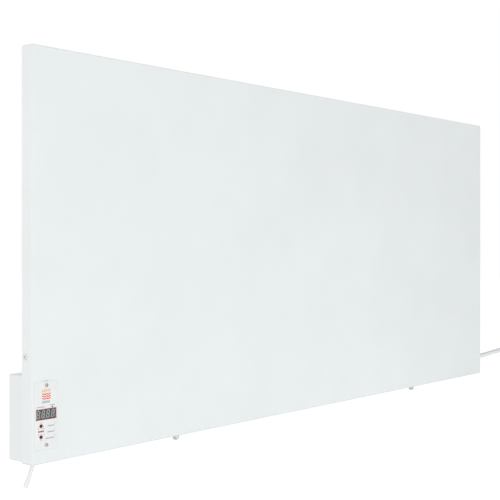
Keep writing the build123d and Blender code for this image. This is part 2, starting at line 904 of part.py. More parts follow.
with BuildPart() as terminal_box:
    with BuildSketch(at(terminal_back)):
        with Locations(terminal_box_centre):
            RectangleRounded(terminal_box_width, terminal_box_height, terminal_box_radius)
    extrude(amount=wall_gap - terminal_back)
    with BuildSketch(at(terminal_back)):
        with Locations(terminal_box_centre):
            RectangleRounded(
                terminal_box_width - 2 * terminal_box_wall,
                terminal_box_height - 2 * terminal_box_wall,
                terminal_box_radius - terminal_box_wall,
            )
        with Locations(*lid_screws_at):
            Circle(lid_boss_radius, mode=Mode.SUBTRACT)
    extrude(amount=wall_gap - terminal_back - terminal_box_wall, mode=Mode.SUBTRACT)
    with BuildSketch(at(terminal_back)):
        with Locations(*lid_screws_at):
            Circle(lid_screw_radius)
    extrude(amount=lid_screw_length, mode=Mode.SUBTRACT)
    with BuildSketch(at(wall_gap)):
        with Locations(wire_hole_at):
            Circle(wire_hole_radius)
        with Locations(earth_at):
            Circle(earth_radius + seat_gap)
    extrude(amount=-2 * terminal_box_wall, mode=Mode.SUBTRACT)
    with BuildSketch(along_lead(gland_wall)):
        Circle(gland_thread_radius + seat_gap / 2)
    extrude(amount=-2 * terminal_box_wall, mode=Mode.SUBTRACT)
terminal_box.part.label = "terminal_box"
export_step(terminal_box.part, "parts/terminal_box.step")


def countersunk(mode, gap):
    """Cones under the lid screws' flat heads, for the screws or for their seats."""
    with BuildSketch(at(box_back)) as heads:
        with Locations(*lid_screws_at):
            Circle(lid_screw_head + gap)
    extrude(heads.sketch, amount=lid_screw_head - lid_screw_radius, taper=45, mode=mode)


with BuildPart() as terminal_box_cover:
    with BuildSketch(at(box_back)):
        with Locations(terminal_box_centre):
            RectangleRounded(terminal_box_width, terminal_box_height, terminal_box_radius)
        with Locations(*lid_screws_at):
            Circle(lid_screw_radius + seat_gap, mode=Mode.SUBTRACT)
    extrude(amount=terminal_box_lid)
    countersunk(Mode.SUBTRACT, seat_gap)
terminal_box_cover.part.label = "terminal_box_cover"
export_step(terminal_box_cover.part, "parts/terminal_box_cover.step")

with BuildPart() as lid_screws:
    with BuildSketch(at(box_back)):
        with Locations(*lid_screws_at):
            Circle(lid_screw_radius)
    extrude(amount=lid_screw_length)
    countersunk(Mode.ADD, 0)
    with BuildSketch(seen_from_wall(box_back)):
        with Locations(*turned(lid_screws_at)):
            Rectangle(cross_span, cross_width)
            Rectangle(cross_width, cross_span)
    extrude(amount=-cross_depth, mode=Mode.SUBTRACT)
lid_screws.part.label = "lid_screws"
export_step(lid_screws.part, "parts/lid_screws.step")

with BuildPart() as wire_grommet:
    with BuildSketch(at(cover_inside)):
        with Locations(wire_hole_at):
            Circle(wire_hole_radius + wire_grommet_lip)
            Circle(wire_hole_radius - wire_grommet_lip, mode=Mode.SUBTRACT)
    extrude(amount=wire_grommet_lip)
    with BuildSketch(at(wall_gap - terminal_box_wall)):
        with Locations(wire_hole_at):
            Circle(wire_hole_radius)
            Circle(wire_hole_radius - wire_grommet_lip, mode=Mode.SUBTRACT)
    extrude(amount=terminal_box_wall + cover_sheet)
wire_grommet.part.label = "wire_grommet"
export_step(wire_grommet.part, "parts/wire_grommet.step")

block_floor = wall_gap - terminal_box_wall
block_at = (gland_wall - block_from_gland, lead_up)
block_ways_at = [(block_at[0], block_at[1] + (way - 1) * block_pitch) for way in range(block_ways)]
with BuildPart() as terminal_block:
    with BuildSketch(at(block_floor)):
        with Locations(block_at):
            Rectangle(block_depth, block_ways * block_pitch)
    extrude(amount=-block_height)
    with BuildSketch(at(block_floor - block_height)):
        with Locations(*block_ways_at):
            with GridLocations(block_depth / 2, 0, 2, 1):
                Circle(block_screw_radius)
    extrude(amount=block_height / 3, mode=Mode.SUBTRACT)
    with BuildSketch(at(block_floor - block_height)):
        with Locations(block_at):
            with GridLocations(0, block_pitch, 1, block_ways - 1):
                Rectangle(block_depth, block_slot)
    extrude(amount=block_height / 2, mode=Mode.SUBTRACT)
terminal_block.part.label = "terminal_block"
export_step(terminal_block.part, "parts/terminal_block.step")

with BuildPart() as earth_stud:
    with BuildSketch(at(cover_inside)):
        with Locations(earth_at):
            hexagon(earth_nut_across)
    extrude(amount=earth_nut_height)
    with BuildSketch(at(cover_inside)):
        with Locations(earth_at):
            Circle(earth_radius)
    extrude(amount=-earth_stud_length)
earth_stud.part.label = "earth_stud"
export_step(earth_stud.part, "parts/earth_stud.step")

with BuildPart() as earth_nut:
    with BuildSketch(at(block_floor)):
        with Locations(earth_at):
            hexagon(earth_nut_across)
            Circle(earth_radius, mode=Mode.SUBTRACT)
    extrude(amount=-earth_nut_height)
earth_nut.part.label = "earth_nut"
export_step(earth_nut.part, "parts/earth_nut.step")


# ---------------------------------------------------------------- gland and strain relief
cap_start = gland_wall + gland_flange_height
relief_start = cap_start + gland_cap_length
relief_end = relief_start + relief_length
bore = lead_radius + bore_gap

with BuildPart() as cord_gland:
    with BuildSketch(along_lead(gland_wall)):
        hexagon(gland_flange_across)
    extrude(amount=gland_flange_height)
    with BuildSketch(along_lead(gland_wall)):
        Circle(gland_thread_radius)
    extrude(amount=-terminal_box_wall - gland_nut_height - gland_thread_spare)
    with BuildSketch(along_lead(cap_start)):
        Circle(gland_cap_radius)
    extrude(amount=gland_cap_length)
    fillet(cord_gland.faces().sort_by(Axis.X)[-1].edges(), gland_cap_round)
    with BuildSketch(along_lead(relief_start)):
        Circle(bore)
    extrude(amount=gland_wall - tail_inside - relief_start, mode=Mode.SUBTRACT)
cord_gland.part.label = "cord_gland"
export_step(cord_gland.part, "parts/cord_gland.step")

with BuildPart() as gland_nut:
    with BuildSketch(along_lead(gland_wall - terminal_box_wall)):
        hexagon(gland_nut_across)
        Circle(gland_thread_radius, mode=Mode.SUBTRACT)
    extrude(amount=-gland_nut_height)
gland_nut.part.label = "gland_nut"
export_step(gland_nut.part, "parts/gland_nut.step")

groove_pitch = relief_length / (relief_groove_count + 1)
with BuildPart() as strain_relief:
    with BuildSketch(Plane.XY.offset(lead_up)):
        with BuildLine():
            Polyline(
                (relief_start, bore - lead_depth),
                (relief_start, relief_start_radius - lead_depth),
                (relief_end, relief_end_radius - lead_depth),
                (relief_end, bore - lead_depth),
                close=True,
            )
        make_face()
    revolve(axis=Axis((relief_start, -lead_depth, lead_up), (1, 0, 0)))
    for groove in range(1, relief_groove_count + 1):
        along = groove * groove_pitch
        radius = relief_start_radius + (relief_end_radius - relief_start_radius) * along / relief_length
        with BuildSketch(along_lead(relief_start + along - relief_groove_width / 2)):
            Circle(relief_start_radius + relief_groove_depth)
            Circle(max(radius - relief_groove_depth, bore + relief_web), mode=Mode.SUBTRACT)
        extrude(amount=relief_groove_width, mode=Mode.SUBTRACT)
strain_relief.part.label = "strain_relief"
export_step(strain_relief.part, "parts/strain_relief.step")

with BuildPart() as mains_lead_tail:
    with BuildSketch(along_lead(gland_wall - tail_inside)):
        Circle(lead_radius)
    extrude(amount=relief_end - gland_wall + tail_inside)
mains_lead_tail.part.label = "mains_lead_tail"
export_step(mains_lead_tail.part, "parts/mains_lead_tail.step")


# ---------------------------------------------------------------- cords
def corner_radii(points):
    """The largest arc that each corner of a route takes with both its runs."""
    radii = []
    for before, here, after in zip(points, points[1:], points[2:]):
        turn = (here - before).get_angle(after - here) * pi / 180
        run = min((here - before).length, (after - here).length)
        radii.append(0.45 * run / tan(turn / 2))
    return radii


def cord_along(points, radius, name):
    """A round cord along straight runs joined by tangent arcs."""
    radii = corner_radii(points)
    with BuildPart() as cord:
        with BuildLine() as route:
            FilletPolyline(*points, radius=radii)
        with BuildSketch(Plane(origin=points[0], z_dir=points[1] - points[0])):
            Circle(radius)
        sweep(path=route.wire())
    length = route.wire().length
    print(name, "length", round(length, 1), "radii", [round(r) for r in radii])
    print(name, "volume share", round(cord.part.volume / (pi * radius**2 * length), 4))
    return cord


sensor_points = [
    point(sensor_across + across, lead_depth, box_floor + up)
    for across, up in ((0, sensor_inside), (0, -8.0), (-4.4, -20.0), (-10.5, -33.0))
]
sensor_lead = cord_along(sensor_points, sensor_radius, "sensor_lead")
sensor_lead.part.label = "sensor_lead"
export_step(sensor_lead.part, "parts/sensor_lead.step")

sensor_end = sensor_points[-1]
sensor_way = (sensor_points[-1] - sensor_points[-2]).normalized()
tip_plane = Plane(origin=sensor_end, x_dir=(0, 1, 0), z_dir=sensor_way)
with BuildPart() as sensor_tip:
    with BuildSketch(tip_plane.offset(-sensor_sleeve)):
        Circle(sensor_tip_radius)
        Circle(sensor_radius, mode=Mode.SUBTRACT)
    extrude(amount=sensor_sleeve)
    with BuildSketch(tip_plane):
        Circle(sensor_tip_radius)
    extrude(amount=sensor_tip_length - sensor_sleeve)
    fillet(sensor_tip.faces().sort_by(Axis(sensor_end, sensor_way))[-1].edges(), sensor_tip_radius * 0.6)
sensor_tip.part.label = "sensor_tip"
export_step(sensor_tip.part, "parts/sensor_tip.step")

lead_points = [
    point(relief_end + along, lead_depth, lead_up + up)
    for along, up in ((0, 0), (40, 0.6), (100, 3.4), (160, 7.0), (214, 9.2), (262, 9.2))
]
mains_lead = cord_along(lead_points, lead_radius, "mains_lead")
mains_lead.part.label = "mains_lead"
export_step(mains_lead.part, "parts/mains_lead.step")

# The coil hangs from the end of that stretch. Its turns go round clockwise as seen from the room.
# They spiral in, climb a layer in the half turn where the spiral reverses, and spiral out again
# to the plug.
coil_start = lead_points[-1] + Vector(2 * lead_radius, 0, 0)
coil_centre = coil_start - Vector(0, 0, coil_radius)
coil_turns = turns_in + turns_out


def coil_radius_at(turn):
    return coil_radius - (turns_in - abs(turn - turns_in)) * turn_pitch


def coil_place(turn):
    """The place and direction of the coil's centre line after this many turns."""
    angle = 2 * pi * turn
    radius = coil_radius_at(turn)
    climbed = min(max((turn - turns_in) / turns_climb + 0.5, 0), 1)
    layer = layer_pitch * (1 - cos(pi * climbed)) / 2
    rise = layer_pitch * sin(pi * climbed) / (4 * turns_climb * radius)
    place = coil_centre + Vector(radius * sin(angle), -layer, radius * cos(angle))
    return place, Vector(cos(angle), -rise, -sin(angle)).normalized()


def biarc(start, start_way, end, end_way):
    """Two tangent arcs from one place and direction to another."""
    across = end - start
    both = start_way + end_way
    spread = 2 * (1 - start_way.dot(end_way))
    lean = across.dot(both)
    reach = (sqrt(lean**2 + spread * across.dot(across)) - lean) / spread
    first, second = start + start_way * reach, end - end_way * reach
    middle = (first + second) * 0.5
    TangentArc(start, middle, tangent=start_way)
    TangentArc(middle, end, tangent=second - first)


with BuildPart() as mains_lead_coil:
    with BuildLine() as coil_route:
        Line(lead_points[-1], coil_start)
        for quarter in range(round(4 * coil_turns)):
            biarc(*coil_place(quarter / 4), *coil_place((quarter + 1) / 4))
        coil_end = coil_place(coil_turns)[0]
        plug_start = coil_end - Vector(0, 0, plug_tail)
        Line(coil_end, plug_start)
    with BuildSketch(Plane(origin=lead_points[-1], z_dir=(1, 0, 0))):
        Circle(lead_radius)
    sweep(path=coil_route.wire())
mains_lead_coil.part.label = "mains_lead_coil"
export_step(mains_lead_coil.part, "parts/mains_lead_coil.step")

steps = 60
samples = [coil_place(step / steps)[0] for step in range(round(steps * coil_turns) + 1)]
least_gap = min(
    (samples[i] - samples[j]).length
    for i in range(len(samples))
    for j in range(i + steps // 2, len(samples))
)
coil_length = coil_route.wire().length
print("coil length", round(coil_length, 1), "least self-gap", round(least_gap - 2 * lead_radius, 2))
print("coil volume share", round(mains_lead_coil.part.volume / (pi * lead_radius**2 * coil_length), 4))

tie_turns = [turn + 0.75 for turn in range(int(coil_turns))]
tie_radii = [coil_radius_at(turn) for turn in tie_turns]
tie_inner = min(tie_radii) - lead_radius - tie_gap
tie_outer = max(tie_radii) + lead_radius + tie_gap
tie_hole = (tie_outer - tie_inner, layer_pitch + 2 * (lead_radius + tie_gap))
with BuildPart() as cord_tie:
    with BuildSketch(Plane.XY.offset(coil_centre.Z)):
        with Locations((coil_centre.X - (tie_inner + tie_outer) / 2, coil_centre.Y - layer_pitch / 2)):
            RectangleRounded(
                tie_hole[0] + 2 * tie_thickness, tie_hole[1] + 2 * tie_thickness, lead_radius
            )
            RectangleRounded(*tie_hole, lead_radius - tie_thickness, mode=Mode.SUBTRACT)
    extrude(amount=tie_width / 2, both=True)
cord_tie.part.label = "cord_tie"
export_step(cord_tie.part, "parts/cord_tie.step")


# ---------------------------------------------------------------- plug
plug_axis = Axis(plug_start, (0, 0, -1))
plug_profile = Plane(origin=plug_start, x_dir=(1, 0, 0), z_dir=(0, 1, 0))
plug_length = plug_neck_length + plug_face_height
plug_face = Plane(origin=plug_start - Vector(0, 0, plug_length), x_dir=(1, 0, 0), z_dir=(0, 0, -1))

with BuildPart() as plug_body:
    with BuildSketch(plug_profile):
        with BuildLine():
            shoulder = (plug_face_radius - plug_shoulder, plug_neck_length)
            rim = (plug_face_radius, plug_neck_length + plug_shoulder)
            Polyline((0, plug_length), (0, 0), (plug_neck_radius - 1, 0))
            neck = Line((plug_neck_radius - 1, 0), (plug_neck_radius, plug_neck_length * 0.6))
            TangentArc(neck @ 1, shoulder, tangent=neck % 1)
            ThreePointArc(
                shoulder,
                (rim[0] - plug_shoulder * 0.293, shoulder[1] + plug_shoulder * 0.293),
                rim,
            )
            Polyline(rim, (plug_face_radius, plug_length), (0, plug_length))
        make_face()
    revolve(axis=plug_axis)
    chamfer(plug_body.faces().sort_by(Axis.Z)[0].edges(), clip_thickness)
    with BuildSketch(plug_face):
        with GridLocations(2 * plug_face_radius, 0, 2, 1):
            Rectangle(plug_groove_depth * 2, plug_groove_width)
        with GridLocations(0, 2 * plug_face_radius, 1, 2):
            Rectangle(clip_width + 2 * seat_gap, 4 * clip_thickness)
    extrude(amount=-clip_length, mode=Mode.SUBTRACT)
plug_body.part.label = "plug_body"
export_step(plug_body.part, "parts/plug_body.step")

with BuildPart() as plug_pins:
    with BuildSketch(plug_face):
        with GridLocations(pin_spacing, 0, 2, 1):
            Circle(pin_radius)
    extrude(amount=pin_length)
    fillet(plug_pins.faces().group_by(Axis.Z)[0].edges(), pin_tip)
plug_pins.part.label = "plug_pins"
export_step(plug_pins.part, "parts/plug_pins.step")

with BuildPart() as plug_earth_clips:
    with BuildSketch(plug_face):
        with GridLocations(0, 2 * plug_face_radius - 3 * clip_thickness, 1, 2):
            Rectangle(clip_width, clip_thickness)
    extrude(amount=-clip_length)
plug_earth_clips.part.label = "plug_earth_clips"
export_step(plug_earth_clips.part, "parts/plug_earth_clips.step")


# ---------------------------------------------------------------- wall brackets
arm_end = wall_gap - hook_gap
tongue_line = arm_end - bracket_sheet / 2
tongue_top = hanger_flange_low - hook_gap
lip_end = mid_depth + lip_end_radius
half_sheet = bracket_sheet / 2

for name, side in (("wall_bracket_left", -1), ("wall_bracket_right", 1)):
    across = side * bracket_spacing / 2
    edge = across - bracket_width / 2
    with BuildPart() as wall_bracket:
        with BuildSketch(Plane.YZ.offset(edge)):
            with BuildLine():
                FilletPolyline(
                    (-lip_end, bottom - half_sheet),
                    (-half_sheet, bottom - half_sheet),
                    (-half_sheet, hanger_low - half_sheet),
                    (-tongue_line, hanger_low - half_sheet),
                    (-tongue_line, tongue_top),
                    radius=bracket_bend + half_sheet,
                )
            trace(line_width=bracket_sheet)
        extrude(amount=bracket_width)
        with BuildSketch(Plane.XY.offset(bottom)):
            with Locations((across, -mid_depth)):
                Rectangle(2 * bracket_width, 2 * lip_taper)
            with BuildLine():
                foot = lip_taper - mid_depth
                Polyline(
                    (across - lip_end_radius, -mid_depth),
                    (across - bracket_width / 2, foot),
                    (across + bracket_width / 2, foot),
                    (across + lip_end_radius, -mid_depth),
                )
                ThreePointArc(
                    (across + lip_end_radius, -mid_depth),
                    (across, -lip_end),
                    (across - lip_end_radius, -mid_depth),
                )
            make_face(mode=Mode.SUBTRACT)
        extrude(amount=-bracket_sheet, mode=Mode.SUBTRACT)
        with BuildSketch(Plane.XY.offset(bottom)):
            with Locations((across, -mid_depth)):
                Circle(m5_hole_radius)
        extrude(amount=-bracket_sheet, mode=Mode.SUBTRACT)
        with BuildSketch(at(0)):
            with Locations((across, 0)):
                with GridLocations(0, panel_height * wall_hole_share, 1, 2):
                    Circle(wall_hole_radius)
        extrude(amount=bracket_sheet, mode=Mode.SUBTRACT)
    wall_bracket.part.label = name
    export_step(wall_bracket.part, f"parts/{name}.step")

# The hanging tongue stands clear of the hook's inside bend.
hanger_line = arm_end - bracket_sheet - bracket_bend - hook_gap - hanger_sheet / 2
with BuildPart() as hanger_plates:
    for side in (-1, 1):
        with BuildSketch(Plane.YZ.offset(side * bracket_spacing / 2 - hanger_width / 2)):
            with BuildLine():
                Polyline(
                    (-hanger_line, hanger_low),
                    (-hanger_line, hanger_flange_low + hanger_sheet / 2),
                    (hanger_sheet / 2 - wall_gap, hanger_flange_low + hanger_sheet / 2),
                    (hanger_sheet / 2 - wall_gap, hanger_high),
                )
            trace(line_width=hanger_sheet)
        extrude(amount=hanger_width)
    with BuildSketch(at(wall_gap)):
        with Locations(*hanger_rivets_at):
            Circle(rivet_radius + seat_gap / 2)
    extrude(amount=-hanger_sheet, mode=Mode.SUBTRACT)
hanger_plates.part.label = "hanger_plates"
export_step(hanger_plates.part, "parts/hanger_plates.step")

hanger_faces = [
    Plane(origin=point(across, wall_gap - hanger_sheet, up), x_dir=(1, 0, 0), z_dir=(0, 1, 0))
    for across, up in hanger_rivets_at
]
hanger_rivets = blind_rivets(
    hanger_faces, rivet_head_radius, rivet_head_height, hanger_sheet + cover_sheet
)
hanger_rivets.part.label = "hanger_rivets"
export_step(hanger_rivets.part, "parts/hanger_rivets.step")

lip_bottom = bottom - bracket_sheet
with BuildPart() as bolt_washers:
    with BuildSketch(Plane.XY.offset(lip_bottom)):
        with Locations((0, -mid_depth)):
            with GridLocations(bracket_spacing, 0, 2, 1):
                Circle(washer_radius)
                Circle(m5_hole_radius, mode=Mode.SUBTRACT)
    extrude(amount=-washer_height)
bolt_washers.part.label = "bolt_washers"
export_step(bolt_washers.part, "parts/bolt_washers.step")

with BuildPart() as bracket_bolts:
    with BuildSketch(Plane.XY.offset(lip_bottom - washer_height)):
        with Locations((0, -mid_depth)):
            with GridLocations(bracket_spacing, 0, 2, 1):
                hexagon(m5_across)
    extrude(amount=-m5_head_height)
    chamfer(bracket_bolts.faces().group_by(Axis.Z)[0].edges(), m5_head_height * 0.12)
    with BuildSketch(Plane.XY.offset(lip_bottom - washer_height)):
        with Locations((0, -mid_depth)):
            with GridLocations(bracket_spacing, 0, 2, 1):
                Circle(m5_radius)
    extrude(amount=m5_length)
bracket_bolts.part.label = "bracket_bolts"
export_step(bracket_bolts.part, "parts/bracket_bolts.step")


# ---------------------------------------------------------------- inside wiring
def wire_along(points, bend):
    """One insulated wire along straight runs with small bends."""
    with BuildLine() as route:
        FilletPolyline(*points, radius=bend)
    with BuildSketch(Plane(origin=points[0], z_dir=points[1] - points[0])) as section:
        Circle(wire_radius)
    sweep(section.sketch, path=route.wire())


supply_depth = block_floor - 0.4 * block_height
wire_depth = cover_inside + (foil_back - cover_inside) / 4
film_wire_depth = skin_inside - wire_radius - seat_gap / 2
wire_levels = [bottom + wire_lowest + wire * wire_pitch for wire in range(block_ways)]
block_left = block_at[0] - block_depth / 2
ways_up = [place[1] for place in block_ways_at]
terminals_low = terminals_at[1] - terminal_size[0] / 2
ways_across = [
    terminals_at[0] + (terminal_ways / 2 - 0.5 - way) * terminal_pitch for way in range(terminal_ways)
]


with BuildPart() as supply_wires:
    for wire in range(2):
        across = wire_hole_at[0] + (0.5 - wire) * wire_pitch
        up = wire_hole_at[1] + (wire - 0.5) * wire_pitch
        wire_along(
            [
                point(block_left, supply_depth, ways_up[wire]),
                point(block_left - wire_bend, supply_depth, ways_up[wire]),
                point(across, supply_depth, up),
                point(across, wire_depth, up),
                point(across, wire_depth, wire_levels[wire]),
                point(ways_across[2 - wire], wire_depth, wire_levels[wire]),
                point(ways_across[2 - wire], wire_depth, terminals_low),
            ],
            wire_bend,
        )
supply_wires.part.label = "supply_wires"
export_step(supply_wires.part, "parts/supply_wires.step")

with BuildPart() as earth_wire:
    wire_along(
        [
            point(block_left, supply_depth, ways_up[-1]),
            point(earth_at[0], supply_depth, ways_up[-1]),
            point(earth_at[0], supply_depth, earth_at[1] - earth_radius),
        ],
        wire_bend / 2,
    )
earth_wire.part.label = "earth_wire"
export_step(earth_wire.part, "parts/earth_wire.step")

# One film wire feeds the limiter, the next goes on to the lower busbar and the last one runs up
# the left margin to the upper busbar.
limiter_tabs = [limiter_at[0] - limiter_radius / 2, limiter_at[0] + limiter_radius / 2]
tabs_low = limiter_at[1] - limiter_tab_width / 2
tab_depth = strip_back - limiter_height - 2 * wire_radius
riser_across = left + riser_from_left
upper_busbar = top - film_margin - busbar_width / 2
with BuildPart() as film_wires:
    wire_along(
        [
            point(ways_across[0], wire_depth, terminals_low),
            point(ways_across[0], wire_depth, wire_levels[2]),
            point(limiter_tabs[0], wire_depth, wire_levels[2]),
            point(limiter_tabs[0], wire_depth, tabs_low),
        ],
        wire_bend,
    )
    wire_along(
        [
            point(limiter_tabs[1], tab_depth, tabs_low),
            point(limiter_tabs[1], tab_depth, bottom + film_margin / 4),
            point(limiter_tabs[1], film_wire_depth, bottom + film_margin / 4),
            point(limiter_tabs[1], film_wire_depth, bottom + film_margin),
        ],
        wire_bend,
    )
    wire_along(
        [
            point(ways_across[3], wire_depth, terminals_low),
            point(ways_across[3], wire_depth, wire_levels[1]),
            point(riser_across, wire_depth, wire_levels[1]),
            point(riser_across, wire_depth, upper_busbar),
            point(riser_across, film_wire_depth, upper_busbar),
            point(left + film_margin, film_wire_depth, upper_busbar),
        ],
        wire_bend,
    )
film_wires.part.label = "film_wires"
export_step(film_wires.part, "parts/film_wires.step")

with BuildPart() as lead_cores:
    for wire in range(block_ways):
        offset_up = (wire - 1) * 2.2 * wire_radius
        with BuildSketch(Plane.YZ.offset(block_at[0] + block_depth / 2)):
            with Locations((-supply_depth, ways_up[wire])):
                Circle(wire_radius)
        with BuildSketch(Plane.YZ.offset(gland_wall - tail_inside)):
            with Locations((-lead_depth, lead_up + offset_up)):
                Circle(wire_radius)
        loft()
lead_cores.part.label = "lead_cores"
export_step(lead_cores.part, "parts/lead_cores.step")
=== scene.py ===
"""Looks of a wall-hung infrared panel heater: finishes, print and painted shade lines on the
overlay, cords, light and camera.

Metres, in the frame of the solids: +X along the panel, +Y into the wall, +Z up, with the origin on
the wall at the middle of the brackets' four holes.
"""
import json
from math import cos, pi, sin

import bpy
import bmesh
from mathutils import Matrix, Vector


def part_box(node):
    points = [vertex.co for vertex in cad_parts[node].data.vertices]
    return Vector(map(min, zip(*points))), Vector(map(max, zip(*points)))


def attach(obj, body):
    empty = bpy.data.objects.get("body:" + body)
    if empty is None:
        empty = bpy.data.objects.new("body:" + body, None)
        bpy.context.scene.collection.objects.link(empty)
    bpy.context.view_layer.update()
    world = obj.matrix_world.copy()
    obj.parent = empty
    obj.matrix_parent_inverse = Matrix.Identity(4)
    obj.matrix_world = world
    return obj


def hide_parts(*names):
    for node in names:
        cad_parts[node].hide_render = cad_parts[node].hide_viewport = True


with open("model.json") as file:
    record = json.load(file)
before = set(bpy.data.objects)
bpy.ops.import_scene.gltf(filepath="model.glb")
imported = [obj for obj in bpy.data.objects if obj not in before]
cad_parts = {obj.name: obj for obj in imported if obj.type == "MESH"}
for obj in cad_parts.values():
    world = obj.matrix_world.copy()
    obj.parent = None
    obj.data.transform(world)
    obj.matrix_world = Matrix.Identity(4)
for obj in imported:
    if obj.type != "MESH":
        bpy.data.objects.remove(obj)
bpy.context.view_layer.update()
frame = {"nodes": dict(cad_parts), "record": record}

MM = 0.001
NODES = frame["nodes"]
HEATER = "heater"

PANEL_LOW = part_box("front_tray")[0]
OVERLAY_LOW, OVERLAY_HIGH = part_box("control_overlay")


def srgb(red, green, blue):
    """A colour as it shows on a screen, 0 to 255, in the linear values that shaders take."""
    def linear(value):
        value /= 255
        return value / 12.92 if value <= 0.04045 else ((value + 0.055) / 1.055) ** 2.4

    return linear(red), linear(green), linear(blue)


def shaded(colour, share):
    """The same colour darker or lighter, up to full white."""
    return tuple(min(part * share, 1) for part in colour)


def add_object(name, data):
    thing = bpy.data.objects.new(name, data)
    bpy.context.scene.collection.objects.link(thing)
    return thing


def add_mesh(name, mesh):
    """An object of what bmesh built."""
    data = bpy.data.meshes.new(name)
    mesh.to_mesh(data)
    mesh.free()
    return add_object(name, data)


# ---------------------------------------------------------------- camera
CAMERA_PLACE = (-1.3824, -1.0923, 0.0165)
CAMERA_WAY = (0.7576, 0.6527, 0.0)
CAMERA_LENS = 71.85
CAMERA_SENSOR = 36.0
CAMERA_SHIFT_UP = -0.0162


def make_camera():
    data = bpy.data.cameras.new("camera")
    data.sensor_width = CAMERA_SENSOR
    data.lens = CAMERA_LENS
    data.shift_y = CAMERA_SHIFT_UP
    data.clip_start = 0.01
    camera = add_object("camera", data)
    camera.location = CAMERA_PLACE
    camera.rotation_mode = "QUATERNION"
    camera.rotation_quaternion = Vector(CAMERA_WAY).to_track_quat("-Z", "Y")
    bpy.context.scene.camera = camera


make_camera()


# ---------------------------------------------------------------- cords
LEAD_DEPTH = -16.25 * MM        # the y of both cords' way out
SENSOR_ACROSS, BOX_FLOOR = -571.5 * MM, -267.5 * MM
LEAD_START, LEAD_UP = 598.0 * MM, -242.0 * MM
SENSOR_DIAMETER, LEAD_DIAMETER = 5.2 * MM, 9.5 * MM

SENSOR_ROUTE = [
    (SENSOR_ACROSS + across * MM, LEAD_DEPTH, BOX_FLOOR + up * MM)
    for across, up in ((0, 8.0), (0, -8.0), (-4.4, -20.0), (-10.5, -33.0))
]
LEAD_ROUTE = [
    (LEAD_START + along * MM, LEAD_DEPTH, LEAD_UP + up * MM)
    for along, up in ((0, 0), (40, 0.6), (100, 3.4), (160, 7.0), (214, 9.2), (262, 9.2))
]
COIL_RADIUS, TURN_PITCH, LAYER_PITCH = 58.0 * MM, 10.0 * MM, 10.2 * MM
TURNS_IN, TURNS_OUT, TURNS_CLIMB = 2.0, 2.25, 0.5
POINTS_PER_TURN = 24
PLUG_TAIL = 20.0 * MM


def coil_route():
    """Points round the put-away turns: in, up a layer where the spiral reverses, and out."""
    start = Vector(LEAD_ROUTE[-1]) + Vector((LEAD_DIAMETER, 0, 0))
    centre = start - Vector((0, 0, COIL_RADIUS))
    reach = 1 / cos(pi / POINTS_PER_TURN)
    points = []
    for step in range(1, round((TURNS_IN + TURNS_OUT) * POINTS_PER_TURN) + 1):
        turn = (step - 0.5) / POINTS_PER_TURN
        angle = 2 * pi * turn
        radius = (COIL_RADIUS - (TURNS_IN - abs(turn - TURNS_IN)) * TURN_PITCH) * reach
        climbed = min(max((turn - TURNS_IN) / TURNS_CLIMB + 0.5, 0), 1)
        layer = LAYER_PITCH * (1 - cos(pi * climbed)) / 2
        points.append(centre + Vector((radius * sin(angle), -layer, radius * cos(angle))))
    end_radius = COIL_RADIUS - (TURNS_IN - TURNS_OUT) * TURN_PITCH
    end = centre + Vector((end_radius, -LAYER_PITCH, 0))
    return [*points, end, end - Vector((0, 0, PLUG_TAIL))]


def make_cord(name, route, diameter, replaced):
    """A round cord on one smooth open spline."""
    data = bpy.data.curves.new(name, "CURVE")
    data.dimensions = "3D"
    data.bevel_depth = 1
    data.bevel_resolution = 6
    data.resolution_u = 8
    data.use_fill_caps = True
    spline = data.splines.new("NURBS")
    spline.points.add(len(route) - 1)
    for control, place in zip(spline.points, route):
        control.co = (*place, 1)
        control.radius = diameter / 2
    spline.order_u = 3
    spline.use_endpoint_u = True
    cord = add_object(name, data)
    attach(cord, HEATER)
    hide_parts(*replaced)
    return cord


sensor_cord = make_cord(
    "sensor_cord", SENSOR_ROUTE, SENSOR_DIAMETER, ["sensor_lead"]
)
mains_cord = make_cord(
    "mains_cord",
    [*LEAD_ROUTE, *coil_route()],
    LEAD_DIAMETER,
    ["mains_lead", "mains_lead_coil"],
)


# ---------------------------------------------------------------- shader nodes
MIX_COLOURS, MIX_RESULT = (6, 7), 2     # the places of a Mix node's colours and of their mixture


